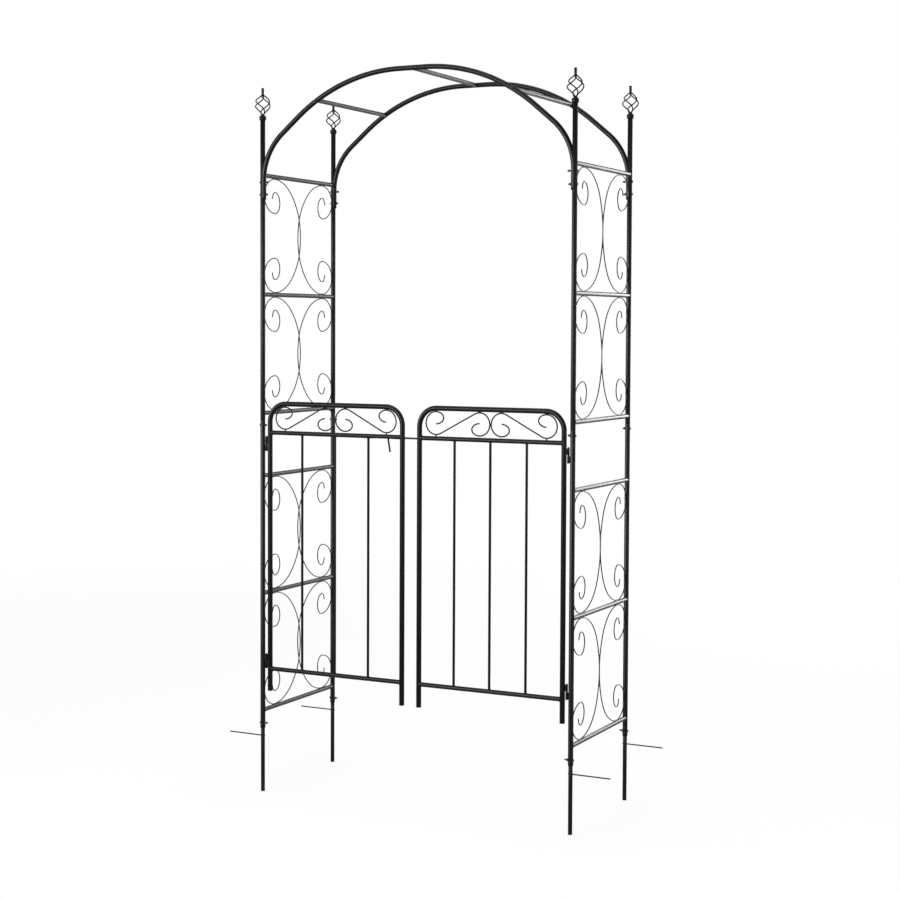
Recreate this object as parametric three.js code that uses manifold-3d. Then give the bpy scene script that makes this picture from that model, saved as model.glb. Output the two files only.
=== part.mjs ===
// Garden arch with a double gate, in black powder-coated steel tube.
// Millimetres. +X runs across the walkway, +Y from the front arch to the back arch, +Z up.
// The origin is on the ground, midway between the four stake tips.
import * as THREE from 'three';
import { mergeVertices } from 'three/addons/utils/BufferGeometryUtils.js';
import Module from 'manifold-3d';

const wasm = await Module();
wasm.setup();

// Layout of the frame
const postSpacing = 1084;
const panelDepth = 440;
const rungSpacing = 381;
const lowestRungRise = 59;
const jointRise = 179;
const firstUpperRungRise = 23;
const postCrown = 173;

// Clearances
const seatGap = 0.3;
const holeClearance = 0.3;
const cutOverrun = 5;
const weldSink = 1.1;

// Post tubes
const postDiameter = 16;
const tubeWall = 1.2;
const crimpInset = 0.4;
const crimpRise = 9;
const flareProud = 0.7;
const flareHeight = 2;
const flareTaper = 2;
const spigotLength = 40;
const swageRise = 6;

// Ground stakes and their pegs
const stakeDiameter = 13;
const stakeReach = 206;
const stakeInsert = 42;
const stakeTipThickness = 3;
const pegDiameter = 4;
const pegHeight = 182;
const pegReach = 128;
const pegStub = 2;

// Rungs and cross bars
const rungDiameter = 14;
const rungWall = 1;
const crossBarOffset = 340;

// Scroll wires of the side panels
const panelWireDiameter = 3.5;
const curlInset = 73;
const bellyOverlap = 5;
const crossingReach = 60;
const crossingEase = 90;
const outerCurlHeight = 111;
const innerCurlHeight = 69;
const innerCurlReach = 28;
const hookHeight = 23;
const hookReach = 16;

// Arch tubes
const legProud = 4;
const legTail = 17;
const springDrop = 18;
const shoulderRadius = 190;
const shoulderTurn = THREE.MathUtils.degToRad(50);
const crownRadius = 570;
const crownFlat = 46;
const spliceReach = 17;
const spliceInsert = 20;

// Fasteners
const boltDiameter = 5;
const boltHeadDiameter = 9;
const boltHeadHeight = 3.2;
const boltTipChamfer = 1;
const nutWidth = 8;
const nutThickness = 4;
const archBoltDrop = 23;
const archBoltSpacing = 39;
const archBoltTail = 4;
const jointBoltDrop = 16;
const jointBoltTail = 4;
const stakeBoltRise = 18;
const stakeBoltTail = 7;
const barBoltInsert = 15;

// Finials
const ballDiameter = 23;
const ballHeight = 16;
const plugLength = 25;
const basketHeight = 62;
const basketDiameter = 59;
const basketWireDiameter = 4;
const basketBaseDiameter = 11;
const basketBaseHeight = 4;
const basketTurns = -0.53;
const basketStart = THREE.MathUtils.degToRad(9.6);
const basketBellyShare = 0.567;
const basketPinch = 1.22;
const stemDiameter = 8.4;
const stemLength = 22;

// Gates
const gateTubeDiameter = 16;
const hingeGap = 12;
const meetingGap = 44;
const gateGroundGap = 125;
const stileFoot = 72;
const gateBay = 764;
const gateCrest = 93;
const gateCornerRadius = 58;
const railDiameter = 14;
const gateBarCount = 3;
const gateBarDiameter = 8;
const gateBarWall = 1;

// Gate scrolls
const gateWireDiameter = 4.4;
const scrollStubHeight = 3;
const scrollStubDiameter = 3.6;
const scrollLobeReach = 34.4;
const scrollLobeSpan = 148.3;
const scrollEyeReach = 26;
const scrollEyeHeight = 37.4;

// Hinges
const knuckleDiameter = 7.5;
const hingePinDiameter = 4;
const postKnuckleHeight = 24;
const gateKnuckleHeight = 22.5;
const hingePinProud = 2.5;
const hingeTabThickness = 2.5;
const hingeTabMargin = 2;
const upperHingeDrop = 60;

// Slide bolt
const latchRodDiameter = 6;
const latchTipGap = 0.5;
const latchThrow = 12;
const latchTravel = 44;
const handleSetback = 51;
const handleDrop = 45;
const handleBendRadius = 7;
const handleLean = THREE.MathUtils.degToRad(10);

// Facets
const tubeSides = 12;
const rungSides = 6;
const wireSides = 4;
const scrollSides = 6;
const boltSides = 6;
const curlSteps = 4;
const lobeSteps = 6;
const hookSteps = 2;
const bellySteps = 12;
const cornerSteps = 5;
const handleSteps = 3;
const shoulderSteps = 6;
const crownSteps = 5;
const basketSteps = 8;
const basketWireCount = 4;

// Sizes worked out from the ones above
const quarter = Math.PI / 2;
const postRadius = postDiameter / 2;
const postBore = postRadius - tubeWall;
const stakeRadius = stakeDiameter / 2;
const spigotRadius = postBore - seatGap;
const rungRadius = rungDiameter / 2;
const boltHole = boltDiameter / 2 + holeClearance;
const nutRadius = nutWidth / Math.sqrt(3);
const panelWireRadius = panelWireDiameter / 2;
const postX = postSpacing / 2;
const postY = panelDepth / 2;
const postFoot = stakeReach;
const lowerRungs = [0, 1, 2].map((i) => postFoot + lowestRungRise + i * rungSpacing);
const jointHeight = lowerRungs[2] + jointRise;
const upperRungs = [0, 1, 2].map((i) => jointHeight + firstUpperRungRise + i * rungSpacing);
const topRung = upperRungs[2];
const postTop = topRung + postCrown;
const archBolts = [topRung - archBoltDrop, topRung - archBoltDrop - archBoltSpacing];
const jointBolt = jointHeight - jointBoltDrop;
const stakeBolt = postFoot + stakeBoltRise;

// Meshes from solids

/** A closed three.js geometry as a solid that can be joined and cut. */
function solid(geometry) {
  const bare = geometry.clone();
  bare.deleteAttribute('normal');
  bare.deleteAttribute('uv');
  const merged = mergeVertices(bare);
  const corners = merged.index.array;
  const triangles = [];
  for (let i = 0; i < corners.length; i += 3) {
    const [a, b, c] = [corners[i], corners[i + 1], corners[i + 2]];
    if (a !== b && b !== c && c !== a) triangles.push(a, b, c);
  }
  const build = () => new wasm.Manifold(new wasm.Mesh({
    numProp: 3,
    vertProperties: merged.attributes.position.array,
    triVerts: new Uint32Array(triangles),
  }));
  const made = build();
  if (made.volume() > 0) return made;
  triangles.reverse();
  return build();
}

/** A solid as a three.js geometry with flat normals. */
function geometryOf(body) {
  const { numProp, numVert, vertProperties, triVerts } = body.getMesh();
  const positions = new Float32Array(numVert * 3);
  for (let i = 0; i < numVert; i++) {
    positions.set(vertProperties.subarray(i * numProp, i * numProp + 3), i * 3);
  }
  const geometry = new THREE.BufferGeometry();
  geometry.setAttribute('position', new THREE.BufferAttribute(positions, 3));
  geometry.setIndex(new THREE.BufferAttribute(new Uint32Array(triVerts), 1));
  geometry.computeVertexNormals();
  return geometry;
}

const joined = (...bodies) => bodies.reduce((sum, body) => sum.add(body));
const cut = (body, ...tools) => tools.reduce((rest, tool) => rest.subtract(tool), body);

// Basic shapes, made along +Z and then turned

/** A body turned about Z from [radius, height] pairs. */
function turned(profile, sides) {
  const points = profile.map(([radius, height]) => new THREE.Vector2(radius, height));
  return new THREE.LatheGeometry(points, sides).rotateX(quarter);
}

const rod = (radius, from, to, sides = tubeSides) =>
  turned([[0, from], [radius, from], [radius, to], [0, to]], sides);
const pipe = (radius, bore, from, to, sides = tubeSides) =>
  turned([[bore, from], [radius, from], [radius, to], [bore, to], [bore, from]], sides);
const alongX = (geometry) => geometry.rotateY(quarter);
const alongY = (geometry) => geometry.rotateX(-quarter);

/** A hole through a tube along X at this height, past both walls. */
const crossHole = (radius, reach, height) =>
  solid(alongX(rod(radius, -reach, reach, boltSides)).translate(0, 0, height));

// Bent tubes and wires

/** A path that is sampled only at its own stations, so straight stretches stay one step long. */
class Route extends THREE.Curve {
  constructor(stretches) {
    super();
    this.stations = stretches.flatMap((stretch, i) => (i ? stretch.slice(1) : stretch));
  }

  get steps() {
    return this.stations.length - 1;
  }

  station(u) {
    return this.stations[Math.round(u * this.steps)];
  }

  getPointAt(u, target = new THREE.Vector3()) {
    return target.copy(this.station(u).point);
  }

  getTangentAt(u, target = new THREE.Vector3()) {
    return target.copy(this.station(u).tangent);
  }
}

/** A straight stretch in the XY plane. */
function straight(fromX, fromY, toX, toY) {
  const tangent = new THREE.Vector3(toX - fromX, toY - fromY, 0).normalize();
  const ends = [new THREE.Vector3(fromX, fromY, 0), new THREE.Vector3(toX, toY, 0)];
  return ends.map((point) => ({ point, tangent }));
}

/** A stretch of an ellipse in the XY plane, from one angle to another. */
function bend(centreX, centreY, reachX, reachY, from, to, steps) {
  return Array.from({ length: steps + 1 }, (_, i) => {
    const angle = from + ((to - from) * i) / steps;
    const way = Math.sign(to - from);
    return {
      point: new THREE.Vector3(
        centreX + reachX * Math.cos(angle), centreY + reachY * Math.sin(angle), 0),
      tangent: new THREE.Vector3(
        -reachX * Math.sin(angle) * way, reachY * Math.cos(angle) * way, 0).normalize(),
    };
  });
}

/** Corners of a round section. */
function corners(radius, sides) {
  return Array.from({ length: sides }, (_, i) => {
    const angle = (2 * Math.PI * i) / sides;
    return new THREE.Vector2(radius * Math.cos(angle), radius * Math.sin(angle));
  });
}

/** A round tube or wire swept along a route, open through its bore if it has one. */
function swept(route, radius, sides, bore = 0) {
  const section = new THREE.Shape(corners(radius, sides));
  if (bore) section.holes.push(new THREE.Path(corners(bore, sides)));
  return new THREE.ExtrudeGeometry(section, { steps: route.steps, extrudePath: route });
}

const uprightPlane = (geometry) => geometry.rotateX(quarter);
const sidePlane = (geometry) => geometry.applyMatrix4(new THREE.Matrix4().makeBasis(
  new THREE.Vector3(0, 1, 0), new THREE.Vector3(0, 0, 1), new THREE.Vector3(1, 0, 0)));

// Posts and stakes, made about their own axis with the height they stand at

/** A lower post, crimped at its foot round the stake. */
function lowerPost() {
  const top = jointHeight - seatGap;
  const flareTop = postFoot + crimpRise + flareHeight;
  const tube = solid(turned([
    [postBore, postFoot],
    [postRadius - crimpInset, postFoot],
    [postRadius + flareProud, postFoot + crimpRise],
    [postRadius + flareProud, flareTop],
    [postRadius, flareTop + flareTaper],
    [postRadius, top],
    [postBore, top],
    [postBore, postFoot],
  ], tubeSides));
  const holes = [jointBolt, stakeBolt].map((height) => crossHole(boltHole, postDiameter, height));
  return cut(tube, ...holes);
}

/** An upper post, whose swaged foot plugs into the lower post. */
function upperPost() {
  const spigotBore = spigotRadius - tubeWall;
  const spigotFoot = jointHeight - spigotLength;
  const tube = solid(turned([
    [spigotBore, spigotFoot],
    [spigotRadius, spigotFoot],
    [spigotRadius, jointHeight],
    [postRadius, jointHeight],
    [postRadius, postTop],
    [postBore, postTop],
    [postBore, jointHeight + swageRise],
    [spigotBore, jointHeight],
    [spigotBore, spigotFoot],
  ], tubeSides));
  const holes = [jointBolt, ...archBolts].map((height) => crossHole(boltHole, postDiameter, height));
  return cut(tube, ...holes);
}

/** A stake with its closed flat tip, and the peg welded through it that points outwards. */
function stake() {
  const bore = stakeRadius - tubeWall;
  const top = stakeReach + stakeInsert;
  const tube = solid(turned([
    [0, 0],
    [stakeRadius, 0],
    [stakeRadius, top],
    [bore, top],
    [bore, stakeTipThickness],
    [0, stakeTipThickness],
  ], tubeSides));
  const peg = rod(pegDiameter / 2, -stakeRadius - pegStub, pegReach, boltSides);
  const drilled = cut(tube, crossHole(boltHole, stakeDiameter, stakeBolt));
  return joined(drilled, solid(alongX(peg).translate(0, 0, pegHeight)));
}

// Hinges, made about the hinge pin with the post towards +X and the gate towards -X

const hingeOffset = postRadius + hingeGap / 2;
const gateStileOffset = hingeGap / 2 + gateTubeDiameter / 2;
const postTab = postKnuckleHeight - hingeTabMargin * 2;
const gateTab = gateKnuckleHeight - hingeTabMargin * 2;

/** A flat tab from the pin's axis to a length along X, standing on a height. */
function hingeTab(length, height, foot) {
  const tab = new THREE.BoxGeometry(length, hingeTabThickness, height);
  return solid(tab.translate(length / 2, 0, foot + hingeTabMargin + height / 2));
}

/** The post's knuckle with the pin that stands out of it. */
function hingePin(foot) {
  const pinTop = foot + postKnuckleHeight + seatGap + gateKnuckleHeight + hingePinProud;
  const knuckle = turned([
    [0, foot],
    [knuckleDiameter / 2, foot],
    [knuckleDiameter / 2, foot + postKnuckleHeight],
    [hingePinDiameter / 2, foot + postKnuckleHeight],
    [hingePinDiameter / 2, pinTop],
    [0, pinTop],
  ], tubeSides);
  return joined(solid(knuckle), hingeTab(hingeGap / 2 + tubeWall / 2, postTab, foot));
}

/** The gate's knuckle, which rests on the post's knuckle and turns on the pin. */
function gateKnuckle(foot) {
  const seat = foot + postKnuckleHeight + seatGap;
  const bore = hingePinDiameter / 2 + holeClearance;
  const barrel = solid(rod(knuckleDiameter / 2, seat, seat + gateKnuckleHeight));
  const tab = hingeTab(-hingeGap / 2 - tubeWall / 2, gateTab, seat);
  const pinHole = solid(rod(bore, seat - cutOverrun, seat + gateKnuckleHeight + cutOverrun));
  return cut(joined(barrel, tab), pinHole);
}

const gateFoot = postFoot + gateGroundGap;
const lowerRail = gateFoot + stileFoot;
const upperRail = lowerRail + gateBay;
const gateTop = upperRail + gateCrest;
const hingeFeet = [lowerRail, upperRail - upperHingeDrop];
const hingeX = postX - hingeOffset;

/** A front post with the two hinge pins welded to its inner side. */
function hingePost() {
  const pins = hingeFeet.map((foot) => hingePin(foot).translate([-hingeOffset, 0, 0]));
  return joined(lowerPost(), ...pins);
}

// Fasteners, made about the post's axis with the head towards +X

/** The outline of a domed bolt head that stands on a height. */
const boltHead = (under) => [
  [boltHeadDiameter / 2, under],
  [boltHeadDiameter / 2, under + boltHeadHeight / 2],
  [boltDiameter / 2, under + boltHeadHeight],
  [0, under + boltHeadHeight],
];

/** A bolt and its nut, clamped between a seat outside the post and a seat inside it. */
function clampBolt(height, outerSeat, innerSeat, tail) {
  const under = outerSeat + seatGap;
  const nutFrom = -innerSeat - seatGap - nutThickness;
  const tip = nutFrom - tail;
  const radius = boltDiameter / 2;
  const shank = turned([
    [0, tip],
    [radius - boltTipChamfer, tip],
    [radius, tip + boltTipChamfer],
    [radius, under],
    ...boltHead(under),
  ], boltSides);
  const nut = rod(nutRadius, nutFrom, nutFrom + nutThickness, 6);
  const whole = joined(solid(alongX(shank)), solid(alongX(nut)));
  return whole.translate([0, 0, height]);
}

// Side panels, made in the plane x = 0 with the front post at -Y

/** A point of a scroll wire, held clear of the wire that it crosses near the cell's middle. */
function sprungAside(point, middle) {
  const far = Math.abs(point.y - middle) - crossingReach;
  const share = THREE.MathUtils.clamp(1 - far / crossingEase, 0, 1);
  return point.clone().setZ(-share * (panelWireRadius + seatGap / 2));
}

/** One C-scroll of a cell, with its curls by the front post and its belly sprung past the other's. */
function panelScroll(cellFoot, cellTop) {
  const reach = rungRadius + panelWireRadius - weldSink;
  const [bottom, top] = [cellFoot + reach, cellTop - reach];
  const middle = (top + bottom) / 2;
  const curlLine = curlInset - postY;
  const curlReach = curlInset - postRadius - seatGap - panelWireRadius;
  const outer = outerCurlHeight / 2;
  const inner = innerCurlHeight / 2;
  const eye = outerCurlHeight - innerCurlHeight;
  const curl = (centreY, reachX, reachY, from, to, steps) =>
    bend(curlLine, centreY, reachX, reachY, from, to, steps);
  const belly = curl(middle, bellyOverlap - curlLine, (top - bottom) / 2, quarter, -quarter, bellySteps);
  const route = new Route([
    curl(top - eye - hookHeight, hookReach, hookHeight, 2 * quarter, quarter, hookSteps),
    curl(top - eye - inner, innerCurlReach, inner, quarter, -quarter, curlSteps),
    curl(top - outer, curlReach, outer, 3 * quarter, quarter, curlSteps),
    belly.map(({ point, tangent }) => ({ point: sprungAside(point, middle), tangent })),
    curl(bottom + outer, curlReach, outer, 3 * quarter, quarter, curlSteps),
    curl(bottom + eye + inner, innerCurlReach, inner, quarter, -quarter, curlSteps),
    curl(bottom + eye + hookHeight, hookReach, hookHeight, -quarter, -2 * quarter, hookSteps),
  ]);
  return sidePlane(swept(route, panelWireRadius, wireSides));
}

/** The rungs of one ladder panel with the two crossing scrolls welded into each cell. */
function panelInfill(rungs) {
  const postCutter = (y) => solid(
    rod(postRadius + seatGap, rungs[0] - rungDiameter, rungs[2] + rungDiameter).translate(0, y, 0));
  const tubes = rungs.map((height) => solid(
    alongY(pipe(rungRadius, rungRadius - rungWall, -postY, postY, rungSides)).translate(0, 0, height)));
  const scrolls = [0, 1].flatMap((cell) => {
    const front = panelScroll(rungs[cell], rungs[cell + 1]);
    const back = front.clone().rotateZ(2 * quarter);
    return [solid(front), solid(back)];
  });
  const legCutter = (y) => solid(rod(
    postRadius + 2 * seatGap, topRung - rungDiameter, topRung + rungDiameter,
  ).translate(postRadius - legInset(topRung), y, 0));
  return cut(joined(...tubes, ...scrolls), ...[-postY, postY].flatMap((y) => [postCutter(y), legCutter(y)]));
}

// Arches, made in the plane y = 0 with the leg on the +X side

const legX = postX - legProud;
const shoulderX = legX - shoulderRadius;
const springHeight = topRung - springDrop;
const shoulderEndX = shoulderX + shoulderRadius * Math.cos(shoulderTurn);
const shoulderEndZ = springHeight + shoulderRadius * Math.sin(shoulderTurn);
const crownStartX = crownFlat + crownRadius * Math.cos(shoulderTurn);
const crownStartZ = shoulderEndZ + (shoulderEndX - crownStartX) / Math.tan(shoulderTurn);
const crownCentre = crownStartZ - crownRadius * Math.sin(shoulderTurn);
const legFoot = archBolts[1] - legTail;
const spliceRoot = spliceReach + spliceInsert;

/** The height of the arch's centre line at a distance from the middle, down to the crown bend's start. */
const archHeightAt = (x) =>
  crownCentre + Math.sqrt(crownRadius ** 2 - Math.max(x - crownFlat, 0) ** 2);

/** How far the leg's inner face stands in from the post's axis, at a height. */
const legInset = (height) => {
  const rise = Math.max(height - springHeight, 0);
  return postX - shoulderX - Math.sqrt(shoulderRadius ** 2 - rise ** 2) + postRadius;
};

/** The crown, from the slanted stretch to the flat stretch at its top. */
const crownBend = () =>
  bend(crownFlat, crownCentre, crownRadius, crownRadius, shoulderTurn, quarter, crownSteps);

/** The slanted straight stretch between the shoulder and the crown. */
const slantedStretch = straight(shoulderEndX, shoulderEndZ, crownStartX, crownStartZ);

/** The shoulder bend, from an angle above its spring. */
const shoulderBend = (from) =>
  bend(shoulderX, springHeight, shoulderRadius, shoulderRadius, from, shoulderTurn, shoulderSteps);

/** The flat stretch at the crown, which ends at a signed distance from the middle. */
const spliceStretch = (end) => straight(crownFlat, archHeightAt(0), end, archHeightAt(0));

/** A round bar in the splice, between two distances from the middle. */
const spliceBar = (radius, from, to) => solid(alongX(rod(radius, from, to)).translate(0, 0, archHeightAt(0)));

/** The closed shape of one bent half up to its end, with its leg's saddle pressed round the post. */
function archHalf(end) {
  const tube = swept(new Route([
    straight(legX, legFoot, legX, springHeight),
    shoulderBend(0),
    slantedStretch,
    crownBend(),
    spliceStretch(end),
  ]), postRadius, tubeSides);
  const post = rod(postRadius + seatGap, legFoot - cutOverrun, postTop + cutOverrun).translate(postX, 0, 0);
  return cut(solid(uprightPlane(tube)), solid(post));
}

/** The bore of one half, from clear of the saddle up to its end. */
function archBore(end) {
  const clearX = postX - postDiameter - seatGap - tubeWall;
  const bore = swept(new Route([
    shoulderBend(Math.acos((clearX - shoulderX) / shoulderRadius)),
    slantedStretch,
    crownBend(),
    spliceStretch(end),
  ]), postBore, tubeSides);
  return solid(uprightPlane(bore));
}

/** Drills a half for its leg bolts and for the bolts of the cross bars. */
function drilledHalf(half) {
  const legHoles = archBolts.map((height) => crossHole(boltHole, postSpacing, height));
  const barHoles = [0, crossBarOffset].map((x) => solid(
    alongY(rod(boltHole, -postDiameter, postDiameter, boltSides)).translate(x, 0, archHeightAt(x))));
  return cut(half, ...legHoles, ...barHoles);
}

/** The half whose open end takes the other half's spigot. */
function socketHalf() {
  return drilledHalf(cut(archHalf(-spliceReach), archBore(-spliceReach - cutOverrun)));
}

/** The half whose swaged spigot slides into the other half. */
function spigotHalf() {
  const shell = joined(archHalf(spliceReach), spliceBar(spigotRadius, -spliceInsert, spliceRoot - cutOverrun));
  const throat = spliceBar(spigotRadius - tubeWall, -spliceInsert - cutOverrun, spliceRoot + cutOverrun);
  return drilledHalf(cut(shell, archBore(spliceRoot - cutOverrun), throat));
}

/** A cross bar between the arches, with the bolt through each arch threaded into its end. */
function crossBar(x) {
  const archCutter = swept(new Route([
    crownBend(),
    spliceStretch(-spliceRoot),
  ]), postRadius + seatGap, tubeSides);
  const cutter = (y) => solid(uprightPlane(archCutter.clone()).translate(0, y, 0));
  const along = (geometry) => solid(alongY(geometry).translate(x, 0, archHeightAt(x)));
  const bar = cut(along(rod(rungRadius, -postY, postY, rungSides)), cutter(-postY), cutter(postY));
  const under = postY + postRadius + seatGap;
  const bolt = (way) => along(turned([
    [0, postY - postRadius - barBoltInsert],
    [boltDiameter / 2, postY - postRadius - barBoltInsert],
    [boltDiameter / 2, under],
    ...boltHead(under),
  ], boltSides).scale(1, 1, way));
  return joined(bar, bolt(1), bolt(-1));
}

// Finials, made about the post's axis

/** The ball collar with the plug that goes into the post, and the twisted wire basket on it. */
function finial() {
  const ballCentre = postTop + seatGap + ballHeight / 2;
  const halfBall = ballHeight / 2;
  const ballRim = (share) => [
    (ballDiameter / 2) * Math.sqrt(1 - share ** 2 * (1 - (postDiameter / ballDiameter) ** 2)),
    ballCentre + halfBall * share,
  ];
  const neckTop = ballCentre + halfBall + basketBaseHeight;
  const tipFoot = neckTop + basketHeight;
  const ball = turned([
    [0, postTop - plugLength],
    [spigotRadius, postTop - plugLength],
    [spigotRadius, postTop + seatGap],
    ...[-1, -0.5, 0, 0.5, 1].map(ballRim),
    [basketBaseDiameter / 2, neckTop],
    [0, neckTop],
  ], tubeSides);
  const stem = rod(stemDiameter / 2, tipFoot - basketBaseHeight, tipFoot + stemLength, boltSides);
  const wires = Array.from({ length: basketWireCount }, (_, i) =>
    solid(basketWire(basketStart + (i * 4 * quarter) / basketWireCount, neckTop, tipFoot)));
  return joined(solid(ball), solid(stem), ...wires);
}

/** One wire of the basket, winding part of a turn while it swells out and in again. */
function basketWire(startAngle, foot, top) {
  const from = foot - basketBaseHeight;
  const ease = Math.log(0.5) / Math.log(basketBellyShare);
  const tie = stemDiameter / 2 - basketWireDiameter / 4;
  const belly = (basketDiameter - basketWireDiameter) / 2 - tie;
  const pointAt = (t) => {
    const angle = startAngle + t * basketTurns * 4 * quarter;
    const radius = tie + belly * Math.max(Math.sin(Math.PI * t ** ease), 0) ** basketPinch;
    return new THREE.Vector3(
      radius * Math.cos(angle), radius * Math.sin(angle), THREE.MathUtils.lerp(from, top, t));
  };
  const share = 1e-3;
  const stations = Array.from({ length: basketSteps + 1 }, (_, i) => {
    const t = i / basketSteps;
    const before = pointAt(Math.max(t - share, 0));
    const after = pointAt(Math.min(t + share, 1));
    return { point: pointAt(t), tangent: after.sub(before).normalize() };
  });
  return swept(new Route([stations]), basketWireDiameter / 2, wireSides);
}

// Gates, made in the plane y = 0 with the hinge on the +X side

const stileRadius = gateTubeDiameter / 2;
const gateBore = stileRadius - tubeWall;
const outerStile = hingeX - gateStileOffset;
const innerStile = meetingGap / 2 + stileRadius;
const gateMiddle = (outerStile + innerStile) / 2;
const railRadius = railDiameter / 2;
const railBore = railRadius - tubeWall;
const latchRadius = latchRodDiameter / 2;
const latchHeight = upperRail - (railBore - latchRadius - seatGap);
const latchHole = latchRadius + holeClearance;

/** The bent frame tube with its two hinge knuckles, drilled for the slide bolt. */
function gateFrame(boltHoleDepth) {
  const radius = gateCornerRadius;
  const corner = (x, from, to) => bend(x, gateTop - radius, radius, radius, from, to, cornerSteps);
  const route = new Route([
    straight(outerStile, gateFoot, outerStile, gateTop - radius),
    corner(outerStile - radius, 0, quarter),
    straight(outerStile - radius, gateTop, innerStile + radius, gateTop),
    corner(innerStile + radius, quarter, 2 * quarter),
    straight(innerStile, gateTop - radius, innerStile, gateFoot),
  ]);
  const tube = solid(uprightPlane(swept(route, stileRadius, tubeSides, gateBore)));
  const knuckles = hingeFeet.map((foot) => gateKnuckle(foot).translate([hingeX, 0, 0]));
  const from = innerStile - stileRadius - cutOverrun;
  const hole = alongX(rod(latchHole, from, from + cutOverrun + boltHoleDepth, rungSides));
  return cut(joined(tube, ...knuckles), solid(hole.translate(0, 0, latchHeight)));
}

/** A cutter that follows an upright stile with the seat gap round it. */
const stileCutter = (x, height) => solid(rod(
  stileRadius + seatGap, height - gateTubeDiameter, height + gateTubeDiameter).translate(x, 0, 0));

/** A rail between the stiles, with its ends coped round them. */
function gateRail(height) {
  const tube = alongX(pipe(railRadius, railBore, innerStile, outerStile)).translate(0, 0, height);
  return cut(solid(tube), stileCutter(innerStile, height), stileCutter(outerStile, height));
}

const handleX = meetingGap / 2 + handleSetback;

/** The upper rail with the slot under it that the slide bolt's handle runs in. */
function slottedRail() {
  const from = handleX - latchThrow;
  const to = handleX + latchTravel + handleBendRadius + latchHole;
  const slot = new THREE.BoxGeometry(to - from, 2 * latchHole, railDiameter);
  slot.translate((from + to) / 2, 0, upperRail - railRadius);
  return cut(gateRail(upperRail), solid(slot));
}

/** One upright bar between the rails, with its ends coped round them. */
function gateBar(index) {
  const x = innerStile + ((outerStile - innerStile) * (index + 1)) / (gateBarCount + 1);
  const tube = pipe(gateBarDiameter / 2, gateBarDiameter / 2 - gateBarWall, lowerRail, upperRail, rungSides);
  const cutter = (height) => solid(alongX(
    rod(railRadius + seatGap, x - railDiameter, x + railDiameter)).translate(0, 0, height));
  return cut(solid(tube.translate(x, 0, 0)), cutter(lowerRail), cutter(upperRail));
}

/** One S-scroll of the top panel, on the side of the gate's middle towards +X: two lobes and a slant. */
function gateScroll() {
  const radius = gateWireDiameter / 2;
  const top = gateTop - stileRadius - seatGap - radius;
  const bottom = upperRail + railRadius + scrollStubHeight + radius;
  const middle = (top + bottom) / 2;
  const lobe = (top - bottom) / 2;
  const innerX = scrollLobeReach + radius + seatGap / 2;
  const outerX = innerX + scrollLobeSpan;
  const eye = scrollEyeHeight / 2;
  const leave = Math.acos((2 * scrollLobeReach) / scrollLobeSpan);
  const innerLobe = bend(innerX, middle, scrollLobeReach, lobe, 3 * quarter, leave, lobeSteps);
  const outerLobe = bend(outerX, middle, scrollLobeReach, lobe, leave - 2 * quarter, quarter, lobeSteps);
  const from = innerLobe.at(-1).point;
  const to = outerLobe[0].point;
  const route = new Route([
    bend(innerX, bottom + eye, scrollEyeReach, eye, quarter, -quarter, lobeSteps),
    innerLobe,
    straight(from.x, from.y, to.x, to.y),
    outerLobe,
    bend(outerX, top - eye, scrollEyeReach, eye, quarter, 3 * quarter, lobeSteps),
  ]);
  const stubFoot = upperRail + railRadius + seatGap;
  const stub = rod(scrollStubDiameter / 2, stubFoot, bottom, rungSides).translate(outerX, 0, 0);
  return joined(solid(uprightPlane(swept(route, radius, scrollSides))), solid(stub));
}

/** The slide bolt: a rod that lies in the left gate's upper rail, bent down into its handle. */
function latchBolt() {
  const tip = latchTipGap - meetingGap / 2;
  const turn = quarter + handleLean;
  const bendY = latchHeight - handleBendRadius;
  const handleTop = new THREE.Vector2(
    handleX + handleBendRadius * Math.cos(handleLean), bendY - handleBendRadius * Math.sin(handleLean));
  const way = new THREE.Vector2(-Math.sin(handleLean), -Math.cos(handleLean));
  const handleEnd = handleTop.clone().addScaledVector(way, handleDrop - handleBendRadius);
  const route = new Route([
    straight(tip, latchHeight, handleX, latchHeight),
    bend(handleX, bendY, handleBendRadius, handleBendRadius, quarter, quarter - turn, handleSteps),
    straight(handleTop.x, handleTop.y, handleEnd.x, handleEnd.y),
  ]);
  return solid(uprightPlane(swept(route, latchRadius, rungSides)));
}

// Finish

const finish = (color, roughness) => new THREE.MeshStandardMaterial({ color, roughness, metalness: 0.6 });
const tubeFinish = finish(0x17171a, 0.42);
const wireFinish = finish(0x1b1b1e, 0.5);
const fastenerFinish = finish(0x2a2a2d, 0.38);

// Assembly

/** A bolt that clamps the arch's leg to the post, with its nut on the leg's inner face. */
function archBolt(height) {
  return clampBolt(height, postRadius, legInset(height + nutRadius), archBoltTail);
}

const arch = new THREE.Group();

/** A named mesh of a solid, added to a group. */
function place(group, name, body, material = tubeFinish) {
  const mesh = new THREE.Mesh(body.isBufferGeometry ? body : geometryOf(body), material);
  mesh.name = name;
  group.add(mesh);
}

/** A group turned into the mirror image that a side of the arch needs, or left as it is with scales of 1. */
function mirrored(parent, scaleX, scaleY, y = 0) {
  const group = new THREE.Group();
  group.scale.set(scaleX, scaleY, 1);
  group.position.y = y;
  parent.add(group);
  return group;
}

const sides = [['left', -1], ['right', 1]];
const ends = [['front', -1], ['back', 1]];

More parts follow.
